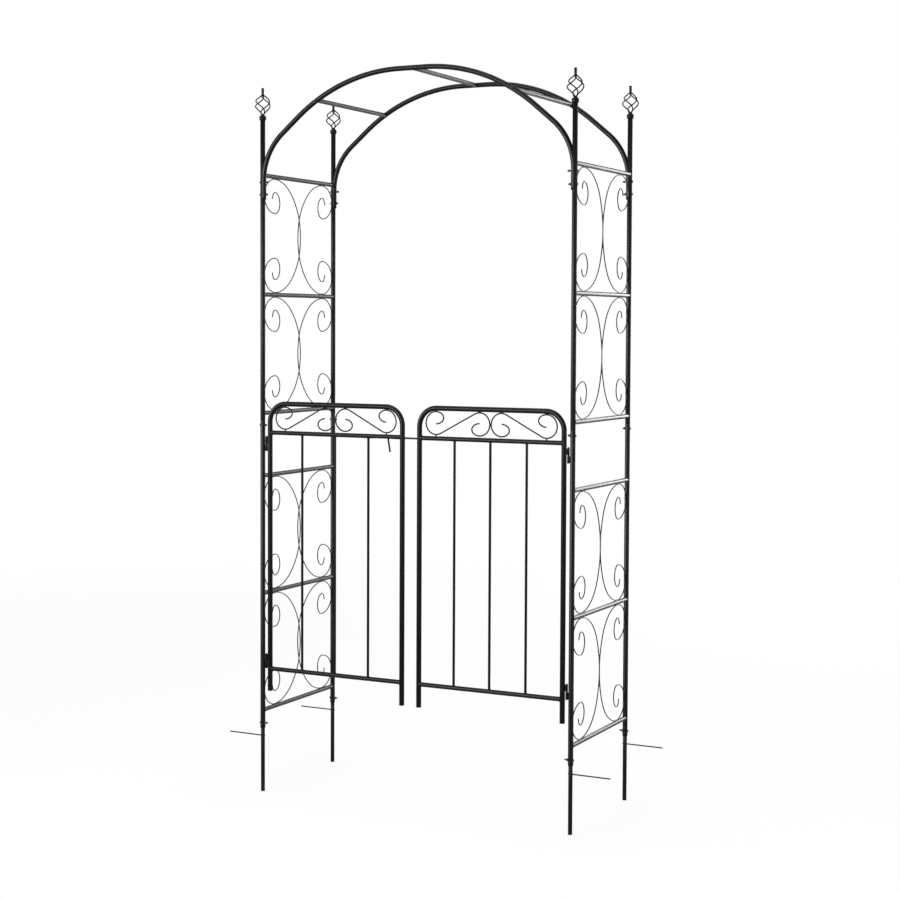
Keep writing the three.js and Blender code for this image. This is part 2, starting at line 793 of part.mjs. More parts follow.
const cornerPieces = {
  plainPost: geometryOf(lowerPost()),
  hingePost: geometryOf(hingePost()),
  upperPost: geometryOf(upperPost()),
  stake: geometryOf(stake()),
  finial: geometryOf(finial()),
  upperArchBolt: geometryOf(archBolt(archBolts[0])),
  lowerArchBolt: geometryOf(archBolt(archBolts[1])),
  jointBolt: geometryOf(clampBolt(jointBolt, postRadius, postRadius, jointBoltTail)),
  stakeBolt: geometryOf(clampBolt(stakeBolt, postRadius, postRadius, stakeBoltTail)),
};

for (const [end, signY] of ends) {
  for (const [side, signX] of sides) {
    const corner = mirrored(arch, signX, signY, signY * postY);
    const postEnd = mirrored(arch, 1, 1, signY * postY);
    corner.position.x = postEnd.position.x = signX * postX;
    const lower = end === 'front' ? cornerPieces.hingePost : cornerPieces.plainPost;
    place(corner, `lower_post_${end}_${side}`, lower);
    place(corner, `upper_post_${end}_${side}`, cornerPieces.upperPost);
    place(corner, `stake_${end}_${side}`, cornerPieces.stake);
    place(postEnd, `finial_${end}_${side}`, cornerPieces.finial, wireFinish);
    place(corner, `arch_bolt_upper_${end}_${side}`, cornerPieces.upperArchBolt, fastenerFinish);
    place(corner, `arch_bolt_lower_${end}_${side}`, cornerPieces.lowerArchBolt, fastenerFinish);
    place(corner, `panel_bolt_${end}_${side}`, cornerPieces.jointBolt, fastenerFinish);
    place(corner, `stake_bolt_${end}_${side}`, cornerPieces.stakeBolt, fastenerFinish);
  }
}

const lowerInfill = geometryOf(panelInfill(lowerRungs));
const upperInfill = geometryOf(panelInfill(upperRungs));
for (const [side, signX] of sides) {
  const panel = mirrored(arch, signX, 1);
  panel.position.x = signX * postX;
  place(panel, `lower_trellis_${side}`, lowerInfill);
  place(panel, `upper_trellis_${side}`, upperInfill);
}

const archSocketHalf = geometryOf(socketHalf());
const archSpigotHalf = geometryOf(spigotHalf());
for (const [end, signY] of ends) {
  place(mirrored(arch, -1, 1, signY * postY), `${end}_arch_left`, archSocketHalf);
  place(mirrored(arch, 1, 1, signY * postY), `${end}_arch_right`, archSpigotHalf);
}

const sideBar = geometryOf(crossBar(crossBarOffset));
place(mirrored(arch, -1, 1), 'cross_bar_left', sideBar);
place(arch, 'cross_bar_middle', crossBar(0));
place(arch, 'cross_bar_right', sideBar);

const plainRail = geometryOf(gateRail(lowerRail));
const scroll = geometryOf(gateScroll());
for (const [side, signX] of sides) {
  const gate = mirrored(arch, signX, 1, -postY);
  const isLeft = side === 'left';
  place(gate, `${side}_gate_frame`, gateFrame(isLeft ? gateTubeDiameter + cutOverrun : stileRadius));
  place(gate, `${side}_gate_upper_rail`, isLeft ? slottedRail() : gateRail(upperRail));
  place(gate, `${side}_gate_lower_rail`, plainRail);
  for (let i = 0; i < gateBarCount; i++) place(gate, `${side}_gate_bar_${i + 1}`, gateBar(i));
  const panel = new THREE.Group();
  panel.position.x = gateMiddle;
  gate.add(panel);
  place(panel, `${side}_gate_scroll_outer`, scroll, wireFinish);
  place(mirrored(panel, -1, 1), `${side}_gate_scroll_inner`, scroll, wireFinish);
  if (isLeft) place(gate, 'latch_bolt', latchBolt(), fastenerFinish);
}

export default arch;
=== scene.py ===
import logging
import math
from collections.abc import Callable, Sequence
from dataclasses import dataclass
from enum import Enum

import bmesh
import bpy
from mathutils import Matrix, Vector


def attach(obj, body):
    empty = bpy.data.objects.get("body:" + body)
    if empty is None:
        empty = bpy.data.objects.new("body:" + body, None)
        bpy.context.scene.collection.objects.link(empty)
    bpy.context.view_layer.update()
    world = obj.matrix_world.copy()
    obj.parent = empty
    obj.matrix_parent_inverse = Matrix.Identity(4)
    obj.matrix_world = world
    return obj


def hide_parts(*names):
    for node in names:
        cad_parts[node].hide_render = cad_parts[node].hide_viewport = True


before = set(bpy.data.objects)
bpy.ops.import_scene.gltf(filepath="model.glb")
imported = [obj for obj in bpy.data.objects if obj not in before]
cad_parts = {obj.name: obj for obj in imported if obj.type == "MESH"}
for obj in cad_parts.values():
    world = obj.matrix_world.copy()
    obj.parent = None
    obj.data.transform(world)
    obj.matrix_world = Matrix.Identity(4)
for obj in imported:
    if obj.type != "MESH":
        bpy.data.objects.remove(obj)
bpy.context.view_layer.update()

log = logging.getLogger("garden_arch")

Pair = tuple[float, float]
Triple = tuple[float, float, float]
Colour = tuple[float, float, float, float]
Socket = bpy.types.NodeSocket

MM = 0.001
X, Y, Z = Vector((1, 0, 0)), Vector((0, 1, 0)), Vector((0, 0, 1))
SHARP_ANGLE = math.radians(40)


class Half(Enum):
    """One of two halves of the arch, a sign in sizes and a word in piece names."""

    @property
    def word(self) -> str:
        """The half's word in piece names."""
        return self.name.lower()


class Side(Half):
    """The two sides of the walkway."""

    LEFT = -1
    RIGHT = 1


class Depth(Half):
    """The two arches, seen from the gate's side."""

    FRONT = -1
    BACK = 1


class Body(Enum):
    """The bodies that move as one."""

    ARCH = "arch"
    LEFT_GATE = "left_gate"
    RIGHT_GATE = "right_gate"
    SLIDE_BOLT = "latch_bolt"


class Slot(Enum):
    """The record's material slots."""

    POST = "post_tube"
    STAKE = "stake"
    FINIAL = "finial"
    FASTENER = "fastener"
    TRELLIS = "trellis"
    ARCH = "arch_tube"
    CROSS_BAR = "cross_bar"
    GATE = "gate_tube"
    GATE_SCROLL = "gate_scroll"
    LATCH = "latch"


class TubeEnd(Enum):
    """How a tube, rod or wire ends."""

    SQUARE = "cut square with its edge broken"
    DOMED = "rounded over"
    BORED = "open, with the bore showing"
    CLOSED = "left as a plain face, out of sight"


def placed(x: float = 0.0, y: float = 0.0, flip_x: int = 1, flip_y: int = 1) -> Matrix:
    """A place moved over the ground, and mirrored where a flip is -1."""
    return Matrix.Translation((x, y, 0)) @ Matrix.Diagonal((flip_x, flip_y, 1, 1))


def add_object(name: str, data: bpy.types.ID) -> bpy.types.Object:
    """Adds an object to the scene.

    Args:
        name: Its name.
        data: Its mesh, lamp or camera data.

    Returns:
        The new object.
    """
    thing = bpy.data.objects.new(name, data)
    bpy.context.scene.collection.objects.link(thing)
    return thing


# Finishes

FULL: Pair = (0.0, 1.0)
WHITE: Colour = (1.0, 1.0, 1.0, 1.0)

# The mix node's sockets for its share and its two colours, and for the mixed colour
COLOUR_MIX_INPUTS = (0, 6, 7)
COLOUR_MIX_OUTPUT = 2


class Wiring:
    """Adds shader nodes to one material or world and joins them."""

    def __init__(self, tree: bpy.types.NodeTree) -> None:
        """Starts from an empty node tree."""
        self.tree = tree
        tree.nodes.clear()

    def add(self, kind: str, settings: dict[str, object] | None = None, **sockets: object) -> bpy.types.Node:
        """Adds one node.

        Args:
            kind: Blender's name of the node type.
            settings: The node's own properties by name.
            sockets: Input sockets by name, with _ for a space, as a value or as another node's output.

        Returns:
            The new node.
        """
        node = self.tree.nodes.new(kind)
        for name, value in (settings or {}).items():
            setattr(node, name, value)
        for name, value in sockets.items():
            self.plug(node, name.replace("_", " "), value)
        return node

    def plug(self, node: bpy.types.Node, name: str | int, value: object) -> None:
        """Sets an input socket, or joins an output to it.

        Args:
            node: The node that has the input.
            name: The input's name or number.
            value: A plain value, or the output socket that feeds the input.
        """
        socket = node.inputs[name]
        if isinstance(value, Socket):
            self.tree.links.new(value, socket)
        else:
            socket.default_value = value

    def place(self) -> Socket:
        """The object's own coordinates."""
        return self.add("ShaderNodeTexCoord").outputs["Object"]

    def noise(self, place: Socket, scale: float, detail: float, rough: float = 0.5) -> Socket:
        """Noise from 0 to 1, with so many features in a metre and so many finer layers, of some strength."""
        node = self.add("ShaderNodeTexNoise", Vector=place, Scale=scale, Detail=detail, Roughness=rough)
        return node.outputs["Fac"]

    def fit(self, value: Socket, old: Pair, new: Pair) -> Socket:
        """Maps one range to another, and holds the result inside it.

        Args:
            value: The output to map.
            old: The range that it has.
            new: The range that it gets.

        Returns:
            The mapped output.
        """
        node = self.add("ShaderNodeMapRange")
        for index, number in enumerate((*old, *new), start=1):
            node.inputs[index].default_value = number
        self.plug(node, "Value", value)
        return node.outputs["Result"]

    def blend(self, share: Socket, first: object, second: object) -> Socket:
        """Mixes two colours.

        Args:
            share: How much of the second colour shows.
            first: A colour, or a colour output.
            second: A colour, or a colour output.

        Returns:
            The mixed colour output.
        """
        node = self.add("ShaderNodeMix", {"data_type": "RGBA"})
        for socket, value in zip(COLOUR_MIX_INPUTS, (share, first, second)):
            self.plug(node, socket, value)
        return node.outputs[COLOUR_MIX_OUTPUT]

    def layered(self, share: Socket, first: Socket, second: Socket) -> Socket:
        """Mixes two shaders.

        Args:
            share: How much of the second shader shows.
            first: A shader output.
            second: A shader output.

        Returns:
            The mixed shader output.
        """
        node = self.add("ShaderNodeMixShader", Fac=share)
        self.plug(node, 1, first)
        self.plug(node, 2, second)
        return node.outputs["Shader"]

    def reckon(self, way: str, first: object, second: object) -> Socket:
        """One step of arithmetic.

        Args:
            way: Blender's name of the operation.
            first: A number, or an output.
            second: A number, or an output.

        Returns:
            The result.
        """
        node = self.add("ShaderNodeMath", {"operation": way})
        self.plug(node, 0, first)
        self.plug(node, 1, second)
        return node.outputs[0]


def new_material(name: str) -> tuple[bpy.types.Material, Wiring]:
    """Starts a node material.

    Args:
        name: Its name.

    Returns:
        The material, and the wiring of its nodes.
    """
    material = bpy.data.materials.new(name)
    material.use_nodes = True
    return material, Wiring(material.node_tree)


@dataclass(frozen=True)
class EdgeWear:
    """The broken line of wear along rims and corners that stand proud."""

    scale: float = 420.0
    breaks: Pair = (0.42, 0.62)
    proud: Pair = (0.54, 0.64)

    def mask(self, board: Wiring, place: Socket, share: float) -> Socket:
        """Where the wear shows.

        Args:
            board: The material's nodes.
            place: The object's own coordinates.
            share: How much wear shows where it is strongest.

        Returns:
            The share of worn surface.
        """
        rise = board.add("ShaderNodeNewGeometry").outputs["Pointiness"]
        broken = board.fit(board.noise(place, self.scale, detail=3.0, rough=0.6), self.breaks, (0.0, share))
        return board.reckon("MULTIPLY", board.fit(rise, self.proud, FULL), broken)


EDGE_WEAR = EdgeWear()


@dataclass(frozen=True)
class PowderCoat:
    """A baked powder coat: satin, faintly pebbled, with handling marks and a little dust on top, whose
    lighter colour on faces that look up is also a painted highlight.
    """

    name: str
    colour: Colour = (0.0022, 0.0020, 0.0026, 1.0)
    lifted: Colour = (0.0042, 0.0038, 0.0050, 1.0)
    # colour on faces that look up: real dust, and also a painted highlight of light from above
    dust: Colour = (0.034, 0.032, 0.037, 1.0)
    rubbed: Colour = (0.022, 0.021, 0.024, 1.0)
    roughness: Pair = (0.20, 0.30)
    gloss_level: Pair = (0.08, 0.0)
    gloss_fade: Pair = (0.30, 0.85)
    pebble_scale: float = 950.0
    pebble_depth: float = 0.000014
    ripple_scale: float = 120.0
    ripple_depth: float = 0.00005
    cloud_scale: float = 7.0
    cloud_edge: Pair = (0.35, 0.68)
    speckle_edge: Pair = (0.60, 0.74)
    speckle_share: float = 0.35
    roughness_edge: Pair = (0.7, 1.3)
    polish: float = 0.08
    streak_scale: Triple = (260.0, 260.0, 16.0)
    streak_edge: Pair = (0.56, 0.74)
    handled_scale: float = 11.0
    handled_edge: Pair = (0.48, 0.66)
    grain_scale: float = 340.0
    grain_edge: Pair = (0.40, 0.70)
    grain_least: float = 0.35
    # how steeply a face must look up, and how much of it gets the dust colour that is also a painted
    # highlight
    dust_slope: Pair = (0.25, 1.0)
    dust_share: float = 0.12
    rub_share: float = 0.30
    edge_share: float = 0.55

    def make(self) -> bpy.types.Material:
        """Makes the material.

        Returns:
            The finished node material.
        """
        material, board = new_material(self.name)
        place = board.place()
        cloud = board.noise(place, self.cloud_scale, detail=4.0)
        pebble = board.noise(place, self.pebble_scale, detail=2.0)
        ripple = board.noise(place, self.ripple_scale, detail=3.0)
        base = board.blend(board.fit(cloud, self.cloud_edge, FULL), self.colour, self.lifted)
        speckle = board.fit(pebble, self.speckle_edge, (0.0, self.speckle_share))
        base = board.blend(speckle, base, self.lifted)
        edge = EDGE_WEAR.mask(board, place, self.edge_share)
        rub = board.reckon("MAXIMUM", self.rub_mask(board, place), edge)
        base = board.blend(rub, base, self.rubbed)
        # lighter colour on faces that look up: dust, and a painted highlight of overhead light
        base = board.blend(self.dust_mask(board, place), base, self.dust)
        gloss = board.fit(board.reckon("ADD", ripple, cloud), self.roughness_edge, self.roughness)
        gloss = board.reckon("SUBTRACT", gloss, board.reckon("MULTIPLY", rub, self.polish))
        coarse = board.add("ShaderNodeBump", Height=ripple, Strength=0.5, Distance=self.ripple_depth)
        fine = board.add("ShaderNodeBump", Height=pebble, Strength=0.4, Distance=self.pebble_depth,
                         Normal=coarse.outputs["Normal"])
        slant = board.add("ShaderNodeLayerWeight", Blend=0.5).outputs["Facing"]
        level = board.fit(slant, self.gloss_fade, self.gloss_level)
        shader = board.add("ShaderNodeBsdfPrincipled", Base_Color=base, Roughness=gloss,
                           Normal=fine.outputs["Normal"], Specular_IOR_Level=level)
        board.add("ShaderNodeOutputMaterial", Surface=shader.outputs["BSDF"])
        return material

    def rub_mask(self, board: Wiring, place: Socket) -> Socket:
        """Where hands and packing have polished the coat in long faint streaks.

        Args:
            board: The material's nodes.
            place: The object's own coordinates.

        Returns:
            The share of rubbed coat.
        """
        along = board.add("ShaderNodeMapping", Vector=place, Scale=self.streak_scale)
        streak = board.noise(along.outputs["Vector"], 1.0, detail=4.0, rough=0.6)
        patch = board.noise(place, self.handled_scale, detail=2.0)
        both = board.reckon("MULTIPLY", board.fit(streak, self.streak_edge, FULL),
                            board.fit(patch, self.handled_edge, FULL))
        return board.reckon("MULTIPLY", both, self.rub_share)

    def dust_mask(self, board: Wiring, place: Socket) -> Socket:
        """Where fine dust has settled on faces that look up, lightened there also as a painted highlight of
        light from above.

        Args:
            board: The material's nodes.
            place: The object's own coordinates.

        Returns:
            The share of dust and painted highlight.
        """
        normal = board.add("ShaderNodeNewGeometry").outputs["Normal"]
        up = board.add("ShaderNodeSeparateXYZ", Vector=normal).outputs["Z"]
        grain = board.noise(place, self.grain_scale, detail=4.0, rough=0.65)
        grain = board.fit(grain, self.grain_edge, (self.grain_least, 1.0))
        # faces that look up get the lighter colour: dust, and a painted highlight
        dusted_and_highlighted = board.reckon("MULTIPLY", board.fit(up, self.dust_slope, FULL), grain)
        return board.reckon("MULTIPLY", dusted_and_highlighted, self.dust_share)


@dataclass(frozen=True)
class BlackenedSteel:
    """Blackened steel of bolts, nuts and rods: semi-gloss, with metal showing where tools and use rub it."""

    name: str
    colour: Colour = (0.034, 0.033, 0.035, 1.0)
    bare: Colour = (0.220, 0.215, 0.205, 1.0)
    roughness: Pair = (0.42, 0.24)
    roughness_edge: Pair = (0.35, 0.70)
    sheen_level: float = 0.40
    metal: float = 0.55
    grain_scale: float = 620.0
    grain_depth: float = 0.00006
    patch_scale: float = 190.0
    patch_edge: Pair = (0.58, 0.72)
    bare_share: float = 0.22
    edge_share: float = 0.60

    def make(self) -> bpy.types.Material:
        """Makes the material.

        Returns:
            The finished node material.
        """
        material, board = new_material(self.name)
        place = board.place()
        grain = board.noise(place, self.grain_scale, detail=3.0)
        patch = board.noise(place, self.patch_scale, detail=5.0, rough=0.62)
        worn = board.reckon("MULTIPLY", board.fit(patch, self.patch_edge, FULL), self.bare_share)
        worn = board.reckon("MAXIMUM", worn, EDGE_WEAR.mask(board, place, self.edge_share))
        base = board.blend(worn, self.colour, self.bare)
        gloss = board.fit(patch, self.roughness_edge, self.roughness)
        bump = board.add("ShaderNodeBump", Height=board.reckon("ADD", grain, patch), Strength=0.6,
                         Distance=self.grain_depth)
        shader = board.add("ShaderNodeBsdfPrincipled", Base_Color=base, Roughness=gloss, Metallic=self.metal,
                           Normal=bump.outputs["Normal"], Specular_IOR_Level=self.sheen_level)
        board.add("ShaderNodeOutputMaterial", Surface=shader.outputs["BSDF"])
        return material


FINISHES: dict[Slot, PowderCoat | BlackenedSteel] = {
    Slot.POST: PowderCoat("coat_on_posts"),
    Slot.STAKE: PowderCoat("coat_on_stakes", rub_share=0.7, rubbed=(0.060, 0.058, 0.056, 1.0)),
    Slot.FINIAL: PowderCoat("coat_on_finials", pebble_scale=1200.0),
    Slot.FASTENER: BlackenedSteel("blackened_fasteners"),
    Slot.TRELLIS: PowderCoat("coat_on_trellis", gloss_level=(0.18, 0.0), gloss_fade=(0.72, 0.82)),
    # the arches and cross bars get more of the lighter colour on their tops: dust, and a painted highlight
    Slot.ARCH: PowderCoat("coat_on_arches", dust_share=0.15),
    Slot.CROSS_BAR: PowderCoat("coat_on_cross_bars", dust_share=0.20, gloss_level=(0.18, 0.0),
                               gloss_fade=(0.72, 0.82)),
    Slot.GATE: PowderCoat("coat_on_gates"),
    Slot.GATE_SCROLL: PowderCoat("coat_on_gate_scrolls", pebble_scale=1200.0),
    Slot.LATCH: BlackenedSteel("rubbed_slide_bolt", colour=(0.0050, 0.0046, 0.0054, 1.0),
                               bare=(0.06, 0.057, 0.055, 1.0), roughness=(0.40, 0.24), sheen_level=0.12,
                               metal=0.1),
}


# Shapes


@dataclass(frozen=True)
class Station:
    """One place along a tube or wire: where it is, which way it runs, one way across it, and its radius."""

    at: Vector
    along: Vector
    across: Vector
    radius: float

    def ring(self, sides: int, inset: float = 0.0, radius: float | None = None) -> list[Vector]:
        """The points of the tube's skin here.

        Args:
            sides: How many points the ring has.
            inset: How far back along the tube the ring lies.
            radius: The ring's own radius, if it isn't the station's.

        Returns:
            The ring's points in order.
        """
        wide = self.radius if radius is None else radius
        side = self.along.cross(self.across).normalized()
        centre = self.at - self.along * inset
        turns = [2 * math.pi * i / sides for i in range(sides)]
        return [centre + (self.across * math.cos(a) + side * math.sin(a)) * wide for a in turns]


@dataclass(frozen=True)
class Plane:
    """The flat plane that a tube or wire is bent in."""

    origin: Vector
    right: Vector
    up: Vector

    def station(self, place: Pair, way: Pair, radius: float) -> Station:
        """A station in the plane.

        Args:
            place: Its two coordinates in the plane.
            way: The way that the tube runs there, in the plane.
            radius: The tube's radius.

        Returns:
            The station in space.
        """
        at = self.origin + self.right * place[0] + self.up * place[1]
        along = (self.right * way[0] + self.up * way[1]).normalized()
        return Station(at, along, self.right.cross(self.up).normalized(), radius)


class Bending:
    """A tube's or wire's centre line, laid out in a plane stretch by stretch."""

    def __init__(self, plane: Plane, radius: float) -> None:
        """Starts an empty line.

        Args:
            plane: The plane that it is bent in.
            radius: The radius of the tube or wire.
        """
        self.plane = plane
        self.radius = radius
        self.stations: list[Station] = []

    def add(self, place: Pair, way: Pair) -> None:
        """Adds a station, unless the line already ends there.

        Args:
            place: Its two coordinates in the plane.
            way: The way that the line runs there.
        """
        station = self.plane.station(place, way, self.radius)
        if not self.stations or (self.stations[-1].at - station.at).length > 1e-4:
            self.stations.append(station)

    def straight(self, start: Pair, end: Pair, steps: int = 1) -> "Bending":
        """Adds a straight stretch.

        Args:
            start: Where it starts.
            end: Where it ends.
            steps: How many pieces it has.

        Returns:
            The line itself.
        """
        way = (end[0] - start[0], end[1] - start[1])
        for i in range(steps + 1):
            self.add((start[0] + way[0] * i / steps, start[1] + way[1] * i / steps), way)
        return self

    def bend(self, centre: Pair, reach: Pair,
             turn: Pair, steps: int) -> "Bending":
        """Adds a stretch of an ellipse.

        Args:
            centre: The ellipse's centre.
            reach: Its two radii.
            turn: The angles that it starts and ends at, in degrees.
            steps: How many pieces it has.

        Returns:
            The line itself.
        """
        sense = math.copysign(1.0, turn[1] - turn[0])
        for i in range(steps + 1):
            angle = math.radians(turn[0] + (turn[1] - turn[0]) * i / steps)
            place = (centre[0] + reach[0] * math.cos(angle), centre[1] + reach[1] * math.sin(angle))
            self.add(place, (-reach[0] * math.sin(angle) * sense, reach[1] * math.cos(angle) * sense))
        return self


Outline = Callable[[float, float, float], float]


def hexagon(across_flats: float, limit: float = 1e9) -> Outline:
    """A hexagonal outline with a corner at angle 0.

    Args:
        across_flats: Its width across the flats.
        limit: No point stands further out than this.

    Returns:
        The outline as a function of angle, the profile's radius and height.
    """
    def radius_at(angle: float, radius: float, height: float) -> float:
        """The outline's radius at an angle, never past the profile's radius."""
        turn = (angle % (math.pi / 3)) - math.pi / 6
        return min(across_flats / 2 / math.cos(turn), radius, limit)
    return radius_at


def thread(depth: float, pitch: float, start: float, end: float) -> Outline:
    """A screw thread between two heights.

    Args:
        depth: How deep the thread is cut.
        pitch: How far it climbs in a turn.
        start: The height where it starts.
        end: The height where it ends.

    Returns:
        The outline as a function of angle, the profile's radius and height.
    """
    def radius_at(angle: float, radius: float, height: float) -> float:
        """The threaded rod's radius.

        Args:
            angle: The angle round the rod.
            radius: The profile's radius.
            height: The profile's height.

        Returns:
            The radius there.
        """
        if not start <= height <= end:
            return radius
        return radius - depth * (0.5 - 0.5 * math.cos(2 * math.pi * height / pitch - angle))
    return radius_at


class Shell:
    """Gathers the faces of one piece, in millimetres."""

    LARGEST_EDGE = 0.45
    EDGE_SHARE = 0.16
    OUTER_ROUND = 0.35
    INNER_ROUND = 0.25
    BORE_DEPTH = 14.0

    def __init__(self) -> None:
        """Starts with no faces."""
        self.points: list[Vector] = []
        self.faces: list[tuple[int, ...]] = []

    def loft(self, rings: Sequence[Sequence[Vector]], closed: bool = False) -> None:
        """Joins rings into a skin, and caps its two ends unless it closes on itself.

        Args:
            rings: Rings with the same number of points.
            closed: Whether the last ring joins the first.
        """
        start = len(self.points)
        sides = len(rings[0])
        for ring in rings:
            self.points.extend(ring)
        count = len(rings)
        for i in range(count if closed else count - 1):
            low = start + i * sides
            high = start + ((i + 1) % count) * sides
            for k in range(sides):
                n = (k + 1) % sides
                self.faces.append((low + k, low + n, high + n, high + k))
        if not closed:
            self.faces.append(tuple(start + k for k in reversed(range(sides))))
            self.faces.append(tuple(start + (count - 1) * sides + k for k in range(sides)))

    def tube(self, stations: Sequence[Station], sides: int, ends: tuple[TubeEnd, TubeEnd],
             wall: float = 1.2, press: Callable[[Vector], Vector] | None = None) -> None:
        """Adds a bent tube, rod or wire.

        Args:
            stations: Its centre line.
            sides: How many points each ring has.
            ends: How its start and its end are finished.
            wall: The wall's thickness where the bore shows.
            press: Moves each point of the skin, where the tube is pressed out of round.
        """
        first, last = stations[0], stations[-1]
        back = Station(first.at, -first.along, first.across, first.radius)
        opening = [back.ring(sides, inset, radius)
                   for inset, radius in reversed(self.end_rings(ends[0], first.radius, wall))]
        opening = [[ring[-k % sides] for k in range(sides)] for ring in opening]
        closing = [last.ring(sides, inset, radius)
                   for inset, radius in self.end_rings(ends[1], last.radius, wall)]
        rings = [*opening, *[s.ring(sides) for s in stations[1:-1]], *closing]
        if press:
            rings = [[press(point) for point in ring] for ring in rings]
        self.loft(rings)

    @staticmethod
    def end_rings(end: TubeEnd, radius: float, wall: float) -> list[Pair]:
        """The rings that finish a tube's end.

        Args:
            end: How it ends.
            radius: The tube's radius.
            wall: The wall's thickness where the bore shows.

        Returns:
            Pairs of how far the ring lies back from the end, and its radius, towards the end.
        """
        edge = min(Shell.LARGEST_EDGE, radius * Shell.EDGE_SHARE)
        outer, inner = Shell.OUTER_ROUND, Shell.INNER_ROUND
        bore = radius - wall
        shapes = {
            TubeEnd.CLOSED: [(0.0, radius)],
            TubeEnd.SQUARE: [(edge, radius), (edge * 0.3, radius - edge * 0.3), (0.0, radius - edge)],
            TubeEnd.DOMED: [(radius * (1 - math.sin(a)), radius * math.cos(a))
                            for a in (0.0, 0.35, 0.7, 1.05, 1.3, 1.48)],
            TubeEnd.BORED: [(outer, radius), (0.1, radius - 0.1), (0.0, radius - outer), (0.0, bore + inner),
                            (inner, bore), (Shell.BORE_DEPTH, bore)],
        }
        return shapes[end]

    def turned(self, base: Vector, axis: Vector, across: Vector, profile: Sequence[Pair],
               sides: int, outline: Outline | None = None) -> None:
        """Adds a body turned about an axis, with a flat cap on its first and last ring.

        Args:
            base: The point that heights are counted from.
            axis: The way that heights grow.
            across: The way that angle 0 points.
            profile: Pairs of radius and height.
            sides: How many points each ring has.
            outline: Gives each point's radius from its angle and the pair, where the body isn't round.
        """
        side = axis.cross(across)
        rings = []
        for radius, height in profile:
            ring = []
            for k in range(sides):
                angle = 2 * math.pi * k / sides
                wide = outline(angle, radius, height) if outline else radius
                ring.append(base + axis * height + (across * math.cos(angle) + side * math.sin(angle)) * wide)
            rings.append(ring)
        self.loft(rings)

    def coped(self, start: "Meeting", end: "Meeting", radius: float, sides: int) -> None:
        """Adds a straight tube whose ends are cut to the round of the tubes that they meet.

        Args:
            start: Where and what it meets first.
            end: Where and what it meets last.
            radius: The tube's radius.
            sides: How many points each ring has.
        """
        way = (end.at - start.at).normalized()
        first = start.saddle(way, radius, sides)
        cut = end.saddle(-way, radius, sides)
        last = [min(cut, key=lambda q, p=p: (q - p - way * (q - p).dot(way)).length) for p in first]
        middle = [[a + (b - a) * t for a, b in zip(first, last)] for t in (0.02, 0.5, 0.98)]
        self.loft([first, *middle, last])

    def weld(self, meeting: "Meeting", way: Vector, radius: float, size: float) -> None:
        """Adds the bead round a tube that is welded on to another.

        Args:
            meeting: What the tube is welded to, and where.
            way: The way from the meeting point into the tube.
            radius: The tube's radius.
            size: The bead's own radius.
        """
        count = max(24, int(radius * 7))
        loop = meeting.saddle(way, radius + size * 0.25, count)
        centre = sum(loop, Vector()) / count
        rings = []
        for i, point in enumerate(loop):
            along = (loop[(i + 1) % count] - loop[i - 1]).normalized()
            out = point - centre
            across = (out - along * out.dot(along)).normalized()
            lump = 1 + 0.16 * math.sin(i * 2 * math.pi / 3.2) + 0.07 * math.sin(i * 1.7 + radius)
            rings.append(Station(point, along, across, size * lump).ring(8))
        self.loft(rings, closed=True)

    def seam(self, start: Vector, end: Vector, across: Vector, size: float) -> None:
        """Adds a straight weld bead.

        Args:
            start: Where it starts.
            end: Where it ends.
            across: One way across it.
            size: The bead's radius.
        """
        length = (end - start).length
        steps = max(6, int(length / 0.7))
        along = (end - start).normalized()
        stations = [Station(start + along * (length * i / steps), along, across,
                            size * (1 + 0.14 * math.sin(i * 2.1) + 0.06 * math.sin(i * 0.9)))
                    for i in range(steps + 1)]
        self.tube(stations, 8, (TubeEnd.DOMED, TubeEnd.DOMED))

    def dab(self, at: Vector, axis: Vector, half_length: float, radius: float) -> None:
        """Adds a spot of weld, as a lumpy grain.

        Args:
            at: Its middle.
            axis: The way that it is long.
            half_length: Half its length.
            radius: Its greatest radius.
        """
        across = axis.orthogonal().normalized()
        profile = [(radius * math.cos(t) * (1 + 0.06 * math.sin(5 * t)), half_length * math.sin(t))
                   for t in (-1.45, -1.1, -0.7, -0.35, 0.0, 0.35, 0.7, 1.1, 1.45)]
        self.turned(at, axis, across, profile, 12, lambda a, r, h: r * (1 + 0.07 * math.sin(3 * a + h * 2)))

    def slab(self, low: Vector, high: Vector, edge: float) -> None:
        """Adds a flat bar with broken edges.

        Args:
            low: Its lowest corner.
            high: Its highest corner.
            edge: How much is taken off its edges.
        """
        middle = (low + high) / 2
        half = (high - low) / 2
        rings = []
        for height, shrink in ((-half.z, edge), (-half.z + edge, 0.0), (half.z - edge, 0.0), (half.z, edge)):
            wide, deep = half.x - shrink, half.y - shrink
            ring = []
            for sx, sy in ((1, 1), (-1, 1), (-1, -1), (1, -1)):
                cuts = [(wide - edge, deep), (wide, deep - edge)]
                cuts = cuts if sx * sy < 0 else cuts[::-1]
                ring += [middle + Vector((sx * x, sy * y, height)) for x, y in cuts]
            rings.append(ring)
        self.loft(rings)


@dataclass(frozen=True)
class Meeting:
    """Where a tube meets the side of another: the point on the other's centre line, its axis and radius."""

    at: Vector
    axis: Vector
    radius: float

    def saddle(self, way: Vector, radius: float, sides: int) -> list[Vector]:
        """The line on the other tube's skin where a tube of a radius meets it.

        Args:
            way: The way from the meeting point into the arriving tube.
            radius: The arriving tube's radius.
            sides: How many points the line has.

        Returns:
            The points of the closed line.
        """
        side = way.cross(self.axis).normalized()
        points = []
        for k in range(sides):
            angle = 2 * math.pi * k / sides
            off = radius * math.sin(angle)
            depth = math.sqrt(max(self.radius ** 2 - off ** 2, 0.0))
            points.append(self.at + self.axis * (radius * math.cos(angle)) + side * off + way * depth)
        return points


